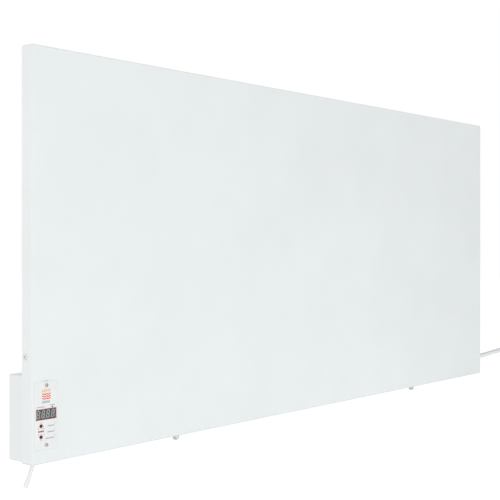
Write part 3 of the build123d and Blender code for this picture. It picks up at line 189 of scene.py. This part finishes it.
class Tree:
    """The shader nodes of a material or of the world."""

    def __init__(self, owner):
        owner.use_nodes = True
        self.tree = owner.node_tree

    def node(self, kind, **settings):
        made = self.tree.nodes.new(kind)
        for name, value in settings.items():
            setattr(made, name, value)
        return made

    def join(self, output, socket):
        self.tree.links.new(output, socket)

    def feed(self, sockets, values):
        """Gives each socket its link or its constant."""
        for socket, value in zip(sockets, values):
            if isinstance(value, bpy.types.NodeSocket):
                self.join(value, socket)
            else:
                socket.default_value = value

    def between(self, value, low, high, out_low=0.0, out_high=1.0):
        """Maps a value's stretch from low to high onto another one."""
        made = self.node("ShaderNodeMapRange")
        for name, number in (
            ("From Min", low), ("From Max", high), ("To Min", out_low), ("To Max", out_high)
        ):
            made.inputs[name].default_value = number
        self.join(value, made.inputs["Value"])
        return made.outputs["Result"]

    def maths(self, operation, *values):
        """One number from two, each a link or a constant."""
        made = self.node("ShaderNodeMath", operation=operation)
        self.feed(made.inputs, values)
        return made.outputs["Value"]

    def dot(self, *vectors):
        """How far two vectors, each a link or a constant, point the same way."""
        made = self.node("ShaderNodeVectorMath", operation="DOT_PRODUCT")
        self.feed(made.inputs, vectors)
        return made.outputs["Value"]

    def axes(self, vector):
        """A vector's parts, under the names X, Y and Z."""
        made = self.node("ShaderNodeSeparateXYZ")
        self.join(vector, made.inputs["Vector"])
        return made.outputs

    def mix(self, share, *colours):
        """Mixes two colours, each a link or three numbers."""
        made = self.node("ShaderNodeMix", data_type="RGBA")
        self.join(share, made.inputs["Factor"])
        self.feed(
            [made.inputs[place] for place in MIX_COLOURS],
            [(*colour, 1) if isinstance(colour, tuple) else colour for colour in colours],
        )
        return made.outputs[MIX_RESULT]


# ---------------------------------------------------------------- finishes
CLOUDS = (0.35, 0.65)           # the stretch of a noise that a change of colour runs over
GLOSS_CLOUDS = (0.3, 0.7)       # the same for a change of roughness
PATCHES = (0.45, 0.62)          # the same for patches along edges, with plain ground between them
ROUNDED = (0.995, 0.85)         # how alike plain and rounded normals are, from flat ground to edges
HOLLOW = (0.75, 0.25)           # the open share of the view, from clean to full of dust and painted shade
UPWARD = (0.3, 0.95)            # the normal's upright part, from no painted shade to full painted shade
FOLDED = (0.99, 0.75)           # the normal's largest part, from a level face to the mid of a fold
SHADER_SAMPLES = 4              # rays for each look at an edge or a hollow
STREAK_SHARE = 0.02             # a streak's width by its length


class Finish(Tree):
    """A material built up from a principled shader, in the object's own coordinates."""

    def __init__(self, slot, metallic=0.0, coat=0.0, coat_roughness=0.1, sheen=0.0, alpha=1.0):
        self.material = bpy.data.materials.new(slot)
        super().__init__(self.material)
        self.shader = self.tree.nodes["Principled BSDF"]
        self.shader.inputs["Metallic"].default_value = metallic
        self.shader.inputs["Coat Weight"].default_value = coat
        self.shader.inputs["Coat Roughness"].default_value = coat_roughness
        self.shader.inputs["Sheen Weight"].default_value = sheen
        self.shader.inputs["Alpha"].default_value = alpha
        self.place = self.node("ShaderNodeTexCoord").outputs["Object"]
        self.colour = None

    def normal(self):
        return self.node("ShaderNodeNewGeometry").outputs["Normal"]

    def stretched(self, scale):
        """The object's coordinates, stretched by these factors along X, Y and Z."""
        mapping = self.node("ShaderNodeMapping")
        mapping.inputs["Scale"].default_value = scale
        self.join(self.place, mapping.inputs["Vector"])
        return mapping.outputs["Vector"]

    def noise(self, size, detail=3.0, stretch=(1, 1, 1)):
        """Clouds of about this size in metres, from 0 to 1."""
        made = self.node("ShaderNodeTexNoise")
        made.inputs["Scale"].default_value = 1 / size
        made.inputs["Detail"].default_value = detail
        self.join(self.stretched(stretch), made.inputs["Vector"])
        return made.outputs["Fac"]

    def coloured(self, colour, spread, size):
        """The base colour, drifting a little lighter and darker."""
        drift = self.between(self.noise(size), *CLOUDS)
        self.colour = self.mix(drift, shaded(colour, 1 - spread), shaded(colour, 1 + spread))
        return self

    def edge_mask(self, radius):
        """1 along sharp edges and 0 on flat ground."""
        soft = self.node("ShaderNodeBevel", samples=SHADER_SAMPLES)
        soft.inputs["Radius"].default_value = radius
        return self.between(self.dot(soft.outputs["Normal"], self.normal()), *ROUNDED)

    def edge_wear_and_shade(self, colour, amount, radius=0.8 * MM, size=6 * MM):
        """Edges in patches of another colour: scuffs from handling, and on the overlay film painted
        shade.
        """
        patches = self.between(self.noise(size, detail=5.0), *PATCHES, 0.0, amount)
        share = self.maths("MULTIPLY", self.edge_mask(radius), patches)
        self.colour = self.mix(share, self.colour, colour)
        return self

    def dust_and_painted_shade(self, colour, amount, reach=12 * MM):
        """Dust, and painted shade, gathered in corners and hollows."""
        hollow = self.node("ShaderNodeAmbientOcclusion", samples=SHADER_SAMPLES)
        hollow.inputs["Distance"].default_value = reach
        share = self.between(hollow.outputs["AO"], *HOLLOW, 0.0, amount)
        self.colour = self.mix(share, self.colour, colour)
        return self

    def painted_top_shade(self, colour, amount):
        """Painted shade on the upper side of a round sheath, and none of it below."""
        share = self.between(self.axes(self.normal())["Z"], *UPWARD, 0.0, amount)
        self.colour = self.mix(share, self.colour, colour)
        return self

    def painted_fold_shade(self, colour, amount):
        """Painted shade on the folds between the upright and level faces, dimming their highlight.
        """
        size = self.node("ShaderNodeVectorMath", operation="ABSOLUTE")
        self.join(self.normal(), size.inputs[0])
        axes = self.axes(size.outputs["Vector"])
        largest = self.maths("MAXIMUM", self.maths("MAXIMUM", axes["X"], axes["Y"]), axes["Z"])
        self.colour = self.mix(self.between(largest, *FOLDED, 0.0, amount), self.colour, colour)
        return self

    def lines_and_painted_bands(self, colour, direction, amount, size):
        """Brushed or drawn lines along one axis; drawn wide and dark on bolt and screw heads, they
        are painted reflections.
        """
        stretch = tuple(STREAK_SHARE if axis == direction else 1.0 for axis in "XYZ")
        lines = self.noise(size, detail=2.0, stretch=stretch)
        self.colour = self.mix(self.between(lines, *CLOUDS, 0.0, amount), self.colour, colour)
        return self

    def rough(self, roughness, spread, size=8 * MM):
        """A roughness that drifts by this spread."""
        value = self.between(
            self.noise(size), *GLOSS_CLOUDS, roughness - spread / 2, roughness + spread / 2
        )
        self.join(value, self.shader.inputs["Roughness"])
        return self

    def grained(self, size, height, detail=2.0, stretch=(1, 1, 1)):
        """A fine relief, of this grain size and height in metres."""
        bump = self.node("ShaderNodeBump")
        bump.inputs["Strength"].default_value = 1.0
        bump.inputs["Distance"].default_value = height
        self.join(self.noise(size, detail, stretch), bump.inputs["Height"])
        self.join(bump.outputs["Normal"], self.shader.inputs["Normal"])
        return self

    def made(self):
        self.join(self.colour, self.shader.inputs["Base Color"])
        return self.material


def coated(slot, colour, roughness=0.55):
    """Powder coating with its orange-peel skin, scuffed at the edges, with dust and painted shade in
    corners and painted shade on the folds.
    """
    finish = Finish(slot)
    finish.coloured(colour, spread=0.012, size=120 * MM)
    finish.dust_and_painted_shade(srgb(196, 199, 198), amount=0.3)
    finish.edge_wear_and_shade(srgb(206, 209, 209), amount=0.35)
    finish.painted_fold_shade(shaded(colour, 0.8), amount=0.65)
    finish.rough(roughness, spread=0.06, size=20 * MM)
    return finish.grained(size=1.1 * MM, height=0.010 * MM).made()


def moulded(slot, colour, roughness=0.45, grain=0.35 * MM, height=0.012 * MM, edge=None):
    """Moulded plastic with a fine spark-eroded grain, dust and painted shade in hollows, and edges
    changed by handling; a given edge colour is painted shade instead.
    """
    edge_colour = edge or tuple(min(part * 1.25 + 0.01, 0.95) for part in colour)
    finish = Finish(slot, coat=0.03)
    finish.coloured(colour, spread=0.02, size=14 * MM)
    finish.dust_and_painted_shade(shaded(colour, 0.72), amount=0.35, reach=5 * MM)
    finish.edge_wear_and_shade(edge_colour, amount=0.4, radius=0.4 * MM, size=3 * MM)
    finish.rough(roughness, spread=0.1, size=5 * MM)
    return finish.grained(grain, height).made()


def metal(slot, colour, roughness, direction="X", streak=0.25, patina_and_shade=None, line=0.4 * MM):
    """Drawn, turned or plated metal with fine lines, drawn wide as painted reflections on bolt and
    screw heads, and hollows dulled by patina and painted shade.
    """
    finish = Finish(slot, metallic=1.0)
    finish.coloured(colour, spread=0.06, size=4 * MM)
    finish.lines_and_painted_bands(shaded(colour, 0.5), direction, streak, line)
    # Hollows darken to the given colour: real patina on copper, elsewhere a darker copy of the metal
    # as painted shade.
    finish.dust_and_painted_shade(patina_and_shade or shaded(colour, 0.35), amount=0.6, reach=2.5 * MM)
    finish.edge_wear_and_shade(shaded(colour, 1.2), amount=0.7, radius=0.3 * MM, size=2 * MM)
    finish.rough(roughness, spread=0.14, size=2 * MM)
    return finish.grained(size=0.3 * MM, height=0.006 * MM).made()


def rubbery(slot, colour, roughness=0.6):
    """A soft extruded sheath: a matt bloom, dust and painted shade in hollows, and painted shade
    along its upper side.
    """
    finish = Finish(slot, sheen=0.15)
    finish.coloured(colour, spread=0.03, size=25 * MM)
    finish.dust_and_painted_shade(shaded(colour, 0.75), amount=0.4, reach=6 * MM)
    finish.painted_top_shade(shaded(colour, 0.45), amount=0.6)
    finish.rough(roughness, spread=0.1, size=10 * MM)
    return finish.grained(size=0.5 * MM, height=0.02 * MM).made()


def fibrous(slot, colour):
    """Pressed mineral fibre."""
    finish = Finish(slot, sheen=0.3)
    finish.coloured(colour, spread=0.18, size=2.5 * MM)
    finish.rough(0.95, spread=0.05)
    return finish.grained(size=0.8 * MM, height=0.4 * MM, detail=6.0, stretch=(1, 3, 1)).made()


def smoked(slot, colour, alpha):
    """Tinted clear plastic, hard and glossy."""
    finish = Finish(slot, coat=0.5, coat_roughness=0.04, alpha=alpha)
    finish.coloured(colour, spread=0.05, size=10 * MM)
    finish.rough(0.12, spread=0.04)
    return finish.grained(size=3 * MM, height=0.003 * MM).made()


# Each slot's kind of finish, its colour and what that kind takes after the colour
RECIPES = {
    "white_coating": (coated, srgb(231, 236, 237)),
    "bracket_coating": (coated, srgb(216, 219, 219), 0.5),
    "zinc_steel": (metal, srgb(172, 175, 178), 0.34),
    "rivet_aluminium": (metal, srgb(176, 178, 181), 0.38),
    "film_plastic": (smoked, srgb(222, 215, 190), 0.9),
    "copper_strip": (metal, srgb(214, 140, 98), 0.3, "X", 0.35, srgb(120, 66, 40)),
    "carbon_print": (moulded, srgb(38, 38, 40), 0.7, 0.6 * MM, 0.02 * MM),
    "foil": (metal, srgb(222, 223, 226), 0.2, "Z", 0.1),
    "insulation": (fibrous, srgb(222, 206, 150)),
    "limiter_case": (metal, srgb(196, 194, 186), 0.32, "Y"),
    # The overlay film's dark edge colour is painted shade on its rim and side walls.
    "overlay_film": (
        moulded, srgb(231, 234, 234), 0.36, 0.25 * MM, 0.004 * MM, srgb(110, 114, 114)
    ),
    "tinted_window": (smoked, srgb(58, 62, 62), 0.1),
    "display_case": (moulded, srgb(96, 101, 100), 0.5),
    "segment_diffuser": (moulded, srgb(206, 214, 211), 0.3, 0.2 * MM, 0.002 * MM),
    "board": (moulded, srgb(30, 104, 62), 0.3, 0.5 * MM, 0.01 * MM),
    "nylon_white": (moulded, srgb(226, 226, 220), 0.5),
    "key_black": (moulded, srgb(26, 26, 28), 0.42),
    "lamp_clear": (moulded, srgb(60, 60, 60), 0.15, 0.2 * MM, 0.001 * MM),
    "relay_case": (moulded, srgb(40, 92, 170), 0.3),
    "module_case": (moulded, srgb(34, 34, 35), 0.5),
    "capacitor_sleeve": (moulded, srgb(40, 40, 66), 0.22, 0.3 * MM, 0.002 * MM),
    "terminal_green": (moulded, srgb(64, 150, 84), 0.42),
    "box_plastic": (moulded, srgb(228, 231, 231), 0.45),
    "grommet_rubber": (rubbery, srgb(186, 189, 189)),
    "lead_sheath": (rubbery, srgb(234, 238, 238), 0.5),
    "sensor_sheath": (rubbery, srgb(235, 235, 236), 0.45),
    "plug_plastic": (moulded, srgb(230, 232, 232), 0.4, 0.5 * MM, 0.02 * MM),
    "plug_nickel": (metal, srgb(206, 203, 194), 0.22, "Z", 0.2),
    "wire_insulation": (rubbery, srgb(150, 92, 58), 0.4),
    "earth_insulation": (rubbery, srgb(150, 178, 60), 0.4),
}
FINISHES = {slot: kind(slot, *settings) for slot, (kind, *settings) in RECIPES.items()}
# Nodes whose finish differs a little from their slot's
OWN_FINISHES = {
    # Wide dark bands across the bolt and screw heads: painted reflections of their facets.
    "bracket_bolts": metal("bolt_zinc", srgb(200, 204, 203), 0.3, "Z", 0.9, line=2.7 * MM),
    "overlay_screws": metal("screw_zinc", srgb(204, 201, 197), 0.3, "Z", 0.75, line=1.8 * MM),
    # A darker copy of the white coating on the rivet heads: painted shade that dims their highlight.
    "side_rivets_low": coated("rivet_coating", srgb(220, 224, 224)),
    "control_box": coated("box_coating", srgb(229, 234, 234)),
}


def dress(thing, finish):
    thing.data.materials.clear()
    thing.data.materials.append(finish)


for part in frame["record"]["subparts"]:
    node_name = part["node"]
    dress(NODES[node_name], OWN_FINISHES.get(node_name) or FINISHES[part["material_slot"]])
dress(sensor_cord, FINISHES["sensor_sheath"])
dress(mains_cord, FINISHES["lead_sheath"])


# ---------------------------------------------------------------- print and painted shade lines on the overlay
MARK_HEIGHT = 0.03 * MM


def rounded(spot):
    """A spot's two measures to a tenth of a micrometre, so that shapes share their corners."""
    return round(spot[0], 4), round(spot[1], 4)


def print_and_shade_marks(name, shapes, colour):
    """Thin marks on the overlay: print, and lines of painted shade along its edge.

    The shapes are outlines in millimetres, across and up from the panel's lower left corner.
    """
    mesh = bmesh.new()
    outlines = [[rounded(spot) for spot in outline] for outline in shapes]
    corners = {}
    for x, z in sorted({spot for outline in outlines for spot in outline}):
        foot = Vector((PANEL_LOW.x + x * MM, OVERLAY_LOW.y, PANEL_LOW.z + z * MM))
        corners[x, z] = mesh.verts.new(foot), mesh.verts.new(foot - Vector((0, MARK_HEIGHT, 0)))
    sides = {}
    for outline in outlines:
        for layer in zip(*(corners[spot] for spot in outline)):
            mesh.faces.new(layer)
        for ends in zip(outline, outline[1:] + outline[:1]):
            sides.setdefault(frozenset(ends), []).append(ends)
    for (one, other), *shared in sides.values():
        if not shared:          # the side of one outline only, so it needs a wall
            mesh.faces.new((*corners[one], *reversed(corners[other])))
    bmesh.ops.recalc_face_normals(mesh, faces=mesh.faces)
    marks = add_mesh(name, mesh)
    mark_finish = Finish(name + "_marking").coloured(colour, spread=0.08, size=1.5 * MM)
    mark_finish.rough(0.4, spread=0.1, size=1 * MM).grained(size=0.3 * MM, height=0.002 * MM)
    marks.data.materials.append(mark_finish.made())
    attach(marks, HEATER)


def across(start, end):
    """The direction square to a line."""
    way = (end - start).normalized()
    return Vector((-way.y, way.x))


def stroke(points, width, closed=False):
    """A line of this width along the points, as four-cornered shapes with mitred ends."""
    spots = [Vector(point) for point in points]
    last = len(spots) - 1
    rims = []
    for index, spot in enumerate(spots):
        normals = []
        if closed or index > 0:
            normals.append(across(spots[index - 1], spot))
        if closed or index < last:
            normals.append(across(spot, spots[index + 1 if index < last else 0]))
        mitre = sum(normals, Vector((0, 0))).normalized()
        reach = mitre * (width / 2 / mitre.dot(normals[0]))
        rims.append((spot + reach, spot - reach))
    followers = rims[1:] + rims[:1] if closed else rims[1:]
    return [[one[0], one[1], other[1], other[0]] for one, other in zip(rims, followers)]


def bar(left, right, middle, height):
    """An upright rectangle centred on a height."""
    low, high = middle - height / 2, middle + height / 2
    return [(left, low), (right, low), (right, high), (left, high)]


def row_of_bars(left, right, middle, height, widths, gap):
    """Short bars of uneven width that fill a row, in place of words."""
    bars, along, index = [], left, 0
    while along + widths[index % len(widths)] <= right:
        width = widths[index % len(widths)]
        bars.append(bar(along, along + width, middle, height))
        along += width + gap
        index += 1
    return bars


KEY_SHARE_BELOW = 0.40          # the part of a triangle's rise that lies on the flat side of its key


def triangle(centre, side, way):
    """An equal-sided outline round a key, pointing up or down."""
    x, z = centre
    rise = side * 3 ** 0.5 / 2
    flat, tip = z - way * rise * KEY_SHARE_BELOW, z + way * rise * (1 - KEY_SHARE_BELOW)
    return [(x - side / 2, flat), (x + side / 2, flat), (x, tip)]


def framed(low, high, line):
    """A closed line just outside a rectangle."""
    left, bottom = low[0] - line / 2, low[1] - line / 2
    right, top = high[0] + line / 2, high[1] + line / 2
    return stroke([(left, bottom), (right, bottom), (right, top), (left, top)], line, closed=True)


def wave(left, right, middle, height, turns, points=61):
    """A lying wavy line."""
    steps = [index / (points - 1) for index in range(points)]
    return [
        (left + (right - left) * part, middle + height / 2 * sin(2 * pi * turns * part))
        for part in steps
    ]


RIM_INSET, RIM_RADIUS, RIM_LINE = 0.4, 2.6, 0.3
RIM_STEPS = 6                   # of each rounded corner


def overlay_rim():
    """Points round the overlay just inside its edge, with rounded corners."""
    low, high = (OVERLAY_LOW - PANEL_LOW) / MM, (OVERLAY_HIGH - PANEL_LOW) / MM
    inset = RIM_INSET + RIM_RADIUS
    left, right, bottom, top = low.x + inset, high.x - inset, low.z + inset, high.z - inset
    points = []
    for quarter, (x, z) in enumerate(((right, top), (left, top), (left, bottom), (right, bottom))):
        for step in range(RIM_STEPS + 1):
            angle = pi / 2 * (quarter + step / RIM_STEPS)
            points.append((x + RIM_RADIUS * cos(angle), z + RIM_RADIUS * sin(angle)))
    return points


# All in millimetres from the panel's lower left corner; rows are left, right, middle and height
KEY_UP, KEY_DOWN = (15.1, 49.2), (15.1, 35.2)
KEY_SIDE, KEY_LINE = 10.0, 0.36
KEY_LABEL = (10.6, 19.6, 42.3, 2.1)
WINDOW_LOW, WINDOW_HIGH, WINDOW_LINE = (7.4, 57.1), (39.4, 70.7), 0.7
ROW_HEIGHTS = (48.2, 40.4, 32.5)
CAPTION_ROWS = (
    (7.9, 21.8, 73.6, 1.0),
    (29.6, 37.4, 74.9, 1.0),
    (25.6, 36.4, ROW_HEIGHTS[0], 1.2),
    (25.6, 36.8, ROW_HEIGHTS[1], 1.2),
    (22.6, 36.8, ROW_HEIGHTS[2], 1.2),
)
CAPTION_WIDTHS, CAPTION_GAP = (1.1, 0.7, 1.4, 0.9), 0.5
TICKS = [(37.0, 37.4, height + 2.4, 4.0) for height in ROW_HEIGHTS]
# The two short dashes, at the overlay's top edge and by its lower left corner, are painted shade of
# the edge.
EDGE_SHADE_DASHES = [(19.6, 26.4, 106.8, 0.45), (8.2, 10.0, 19.2, 0.6)]
EMBLEM_LEFT, EMBLEM_RIGHT = 16.8, 30.4
WAVE_MIDDLES, WAVE_HEIGHT, WAVE_TURNS, WAVE_LINE = (84.0, 86.9, 89.8), 1.3, 2.5, 1.2

# A grey line just inside the overlay's edge: painted shade along its rim.
print_and_shade_marks("overlay_edge", stroke(overlay_rim(), RIM_LINE, closed=True), srgb(218, 221, 221))
print_and_shade_marks(
    "key_triangles",
    [
        *stroke(triangle(KEY_UP, KEY_SIDE, 1), KEY_LINE, closed=True),
        *stroke(triangle(KEY_DOWN, KEY_SIDE, -1), KEY_LINE, closed=True),
    ],
    srgb(222, 84, 76),
)
print_and_shade_marks("window_frame", framed(WINDOW_LOW, WINDOW_HIGH, WINDOW_LINE), srgb(236, 172, 162))
print_and_shade_marks("key_label", row_of_bars(*KEY_LABEL, (1.9, 1.3, 2.2), 0.5), srgb(78, 80, 82))
print_and_shade_marks(
    "captions",
    [
        shape
        for row in CAPTION_ROWS
        for shape in row_of_bars(*row, CAPTION_WIDTHS, CAPTION_GAP)
    ],
    srgb(118, 122, 124),
)
# The dashes drawn here with the ticks are painted shade along the overlay's edge.
print_and_shade_marks("ticks_and_edge_shade", [bar(*row) for row in TICKS + EDGE_SHADE_DASHES], srgb(150, 154, 156))
print_and_shade_marks(
    "emblem_waves",
    [
        shape
        for middle in WAVE_MIDDLES
        for shape in stroke(
            wave(EMBLEM_LEFT, EMBLEM_RIGHT, middle, WAVE_HEIGHT, WAVE_TURNS), WAVE_LINE
        )
    ],
    srgb(224, 66, 52),
)
print_and_shade_marks(
    "emblem_upper_row",
    row_of_bars(EMBLEM_LEFT, EMBLEM_RIGHT, 94.4, 3.2, (1.6, 2.4, 2.0), 0.8),
    srgb(243, 183, 122),
)
print_and_shade_marks(
    "emblem_lower_row",
    row_of_bars(EMBLEM_LEFT, EMBLEM_RIGHT, 79.8, 3.0, (1.2, 1.8, 1.4), 0.7),
    srgb(166, 168, 169),
)


# ---------------------------------------------------------------- rivet pins and plug ribs
TURNED_POINTS = 20
MANDREL_RADIUS, MANDREL_RISE, MANDREL_SEAT = 1.25 * MM, 0.55 * MM, 0.9 * MM
MANDREL_SHAPE = ((0, 1), (0.7, 1), (1, 0.8), (0.8, 0.35))      # shares of the rise and the radius


def turned(mesh, origin, way, profile, closed=False):
    """Revolves a profile of (along, radius) points about an axis, capped unless it is closed."""
    turn = Vector(way).to_track_quat("Z", "X")
    rings = []
    for along, radius in profile:
        rings.append([
            mesh.verts.new(origin + turn @ Vector((
                radius * cos(2 * pi * index / TURNED_POINTS),
                radius * sin(2 * pi * index / TURNED_POINTS),
                along,
            )))
            for index in range(TURNED_POINTS)
        ])
    pairs = list(zip(rings, rings[1:]))
    if closed:
        pairs.append((rings[-1], rings[0]))
    else:
        mesh.faces.new(rings[0])
        mesh.faces.new(rings[-1])
    for inner, outer in pairs:
        for index in range(TURNED_POINTS):
            after = (index + 1) % TURNED_POINTS
            mesh.faces.new((inner[index], inner[after], outer[after], outer[index]))


def make_turned(name, slot, turnings):
    """One piece from any number of turned shapes, each the arguments that turned() takes."""
    mesh = bmesh.new()
    for turning in turnings:
        turned(mesh, *turning)
    bmesh.ops.recalc_face_normals(mesh, faces=mesh.faces)
    piece = add_mesh(name, mesh)
    piece.data.materials.append(FINISHES[slot])
    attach(piece, HEATER)


def make_mandrel(name, side):
    """The broken end of a blind rivet's pin, down in the hole of its head."""
    low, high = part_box("side_rivets_low")
    crown = high.x if side > 0 else low.x
    seat = Vector((crown - side * MANDREL_SEAT, (low.y + high.y) / 2, (low.z + high.z) / 2))
    shape = [(rise * MANDREL_RISE, radius * MANDREL_RADIUS) for rise, radius in MANDREL_SHAPE]
    make_turned(name, "zinc_steel", [(seat, (side, 0, 0), shape)])


make_mandrel("rivet_pin_left", -1)
make_mandrel("rivet_pin_right", 1)

NECK_TOP_RADIUS = 5.5 * MM
NECK_WIDENING = 1 / 14.4        # growth of the neck's radius down its length
RIB_PLACES = (3.0, 5.6, 8.2, 10.8, 13.4)
RIB_HALF_WIDTH = 0.8 * MM
RIB_CREST = 0.5                 # a rib's half width at its crest by that at its foot
RIB_HEIGHT = 0.6 * MM
RIB_FOOT = 0.3 * MM


def make_plug_ribs():
    """Finger ribs round the plug's neck, their feet sunk in it."""
    low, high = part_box("plug_body")
    neck_top = Vector(((low.x + high.x) / 2, (low.y + high.y) / 2, high.z))
    ribs = []
    for place in RIB_PLACES:
        neck = NECK_TOP_RADIUS + place * MM * NECK_WIDENING
        section = [
            (-RIB_HALF_WIDTH, neck - RIB_FOOT),
            (-RIB_CREST * RIB_HALF_WIDTH, neck + RIB_HEIGHT),
            (RIB_CREST * RIB_HALF_WIDTH, neck + RIB_HEIGHT),
            (RIB_HALF_WIDTH, neck - RIB_FOOT),
        ]
        ribs.append((neck_top - Vector((0, 0, place * MM)), (0, 0, -1), section, True))
    make_turned("plug_neck_ribs", "plug_plastic", ribs)


make_plug_ribs()


# ---------------------------------------------------------------- floor, light and background
FLOOR_UP = -0.85
FLOOR_SIZE = 40.0
FLOOR_GREY = 0.85
FLOOR_GLOW = 0.36               # lifts the floor to white where the camera sees it
ROOM_LEVEL = 0.918
ROOM_FROM_LEFT = 0.42           # how much more comes from the left than from the room's mean
ROOM_FROM_BELOW = 0.16
ROOM_COLOUR = (0.992, 1.0, 1.006)
ROOM_COLOUR_LEFT = (1.023, 0.990, 0.968)    # a little warmer, as from a lamp
BACKGROUND_WHITE = 1.0
LAMPS = {                       # place, target, width and watts
    "key": ((-1.4, -2.3, -0.5), (-0.35, 0, -0.1), 0.8, 14.1),
    "kicker": ((0.2, -0.6, -0.55), (0.12, 0, -0.15), 0.4, 0.33),
}


def mixed_for_camera(nodes, behind, ahead, output):
    """One shader for light and shade, the other where the camera, gloss or glass looks."""
    path = nodes.node("ShaderNodeLightPath").outputs
    looks = path["Is Camera Ray"]
    for name in ("Is Glossy Ray", "Is Transmission Ray"):
        looks = nodes.maths("MAXIMUM", looks, path[name])
    mix = nodes.node("ShaderNodeMixShader")
    nodes.feed(mix.inputs, (looks, behind, ahead))
    nodes.join(mix.outputs["Shader"], output)


def make_world():
    world = bpy.data.worlds.new("studio")
    bpy.context.scene.world = world
    nodes = Tree(world)
    way = nodes.node("ShaderNodeTexCoord").outputs["Generated"]
    leftward = nodes.between(nodes.axes(way)["X"], 0, -1)
    lean = nodes.dot(way, (-ROOM_FROM_LEFT, 0, -ROOM_FROM_BELOW))
    room = nodes.tree.nodes["Background"]
    nodes.join(nodes.mix(leftward, ROOM_COLOUR, ROOM_COLOUR_LEFT), room.inputs["Color"])
    nodes.join(nodes.maths("ADD", lean, ROOM_LEVEL), room.inputs["Strength"])
    white = nodes.node("ShaderNodeBackground")
    white.inputs["Color"].default_value = (1, 1, 1, 1)
    white.inputs["Strength"].default_value = BACKGROUND_WHITE
    output = nodes.tree.nodes["World Output"].inputs["Surface"]
    mixed_for_camera(nodes, room.outputs["Background"], white.outputs["Background"], output)


def make_floor():
    mesh = bmesh.new()
    bmesh.ops.create_grid(mesh, x_segments=1, y_segments=1, size=FLOOR_SIZE / 2)
    floor = add_mesh("floor", mesh)
    floor.location = (0, 0, FLOOR_UP)
    material = bpy.data.materials.new("floor_paint")
    nodes = Tree(material)
    nodes.tree.nodes.remove(nodes.tree.nodes["Principled BSDF"])
    matt = nodes.node("ShaderNodeBsdfDiffuse")
    matt.inputs["Color"].default_value = (FLOOR_GREY, FLOOR_GREY, FLOOR_GREY, 1)
    glow = nodes.node("ShaderNodeEmission")
    glow.inputs["Strength"].default_value = FLOOR_GLOW
    both = nodes.node("ShaderNodeAddShader")
    nodes.feed(both.inputs, (matt.outputs["BSDF"], glow.outputs["Emission"]))
    output = nodes.tree.nodes["Material Output"].inputs["Surface"]
    mixed_for_camera(nodes, matt.outputs["BSDF"], both.outputs["Shader"], output)
    floor.data.materials.append(material)


def make_lamp(name, place, target, width, watts):
    data = bpy.data.lights.new(name, "AREA")
    data.shape = "DISK"
    data.size = width
    data.energy = watts
    lamp = add_object(name, data)
    lamp.location = place
    lamp.visible_camera = False
    lamp.rotation_mode = "QUATERNION"
    lamp.rotation_quaternion = (Vector(target) - Vector(place)).to_track_quat("-Z", "Y")


make_world()
make_floor()
for lamp_name, settings in LAMPS.items():
    make_lamp(lamp_name, *settings)

bpy.context.scene.view_settings.view_transform = "Standard"

bpy.context.view_layer.update()
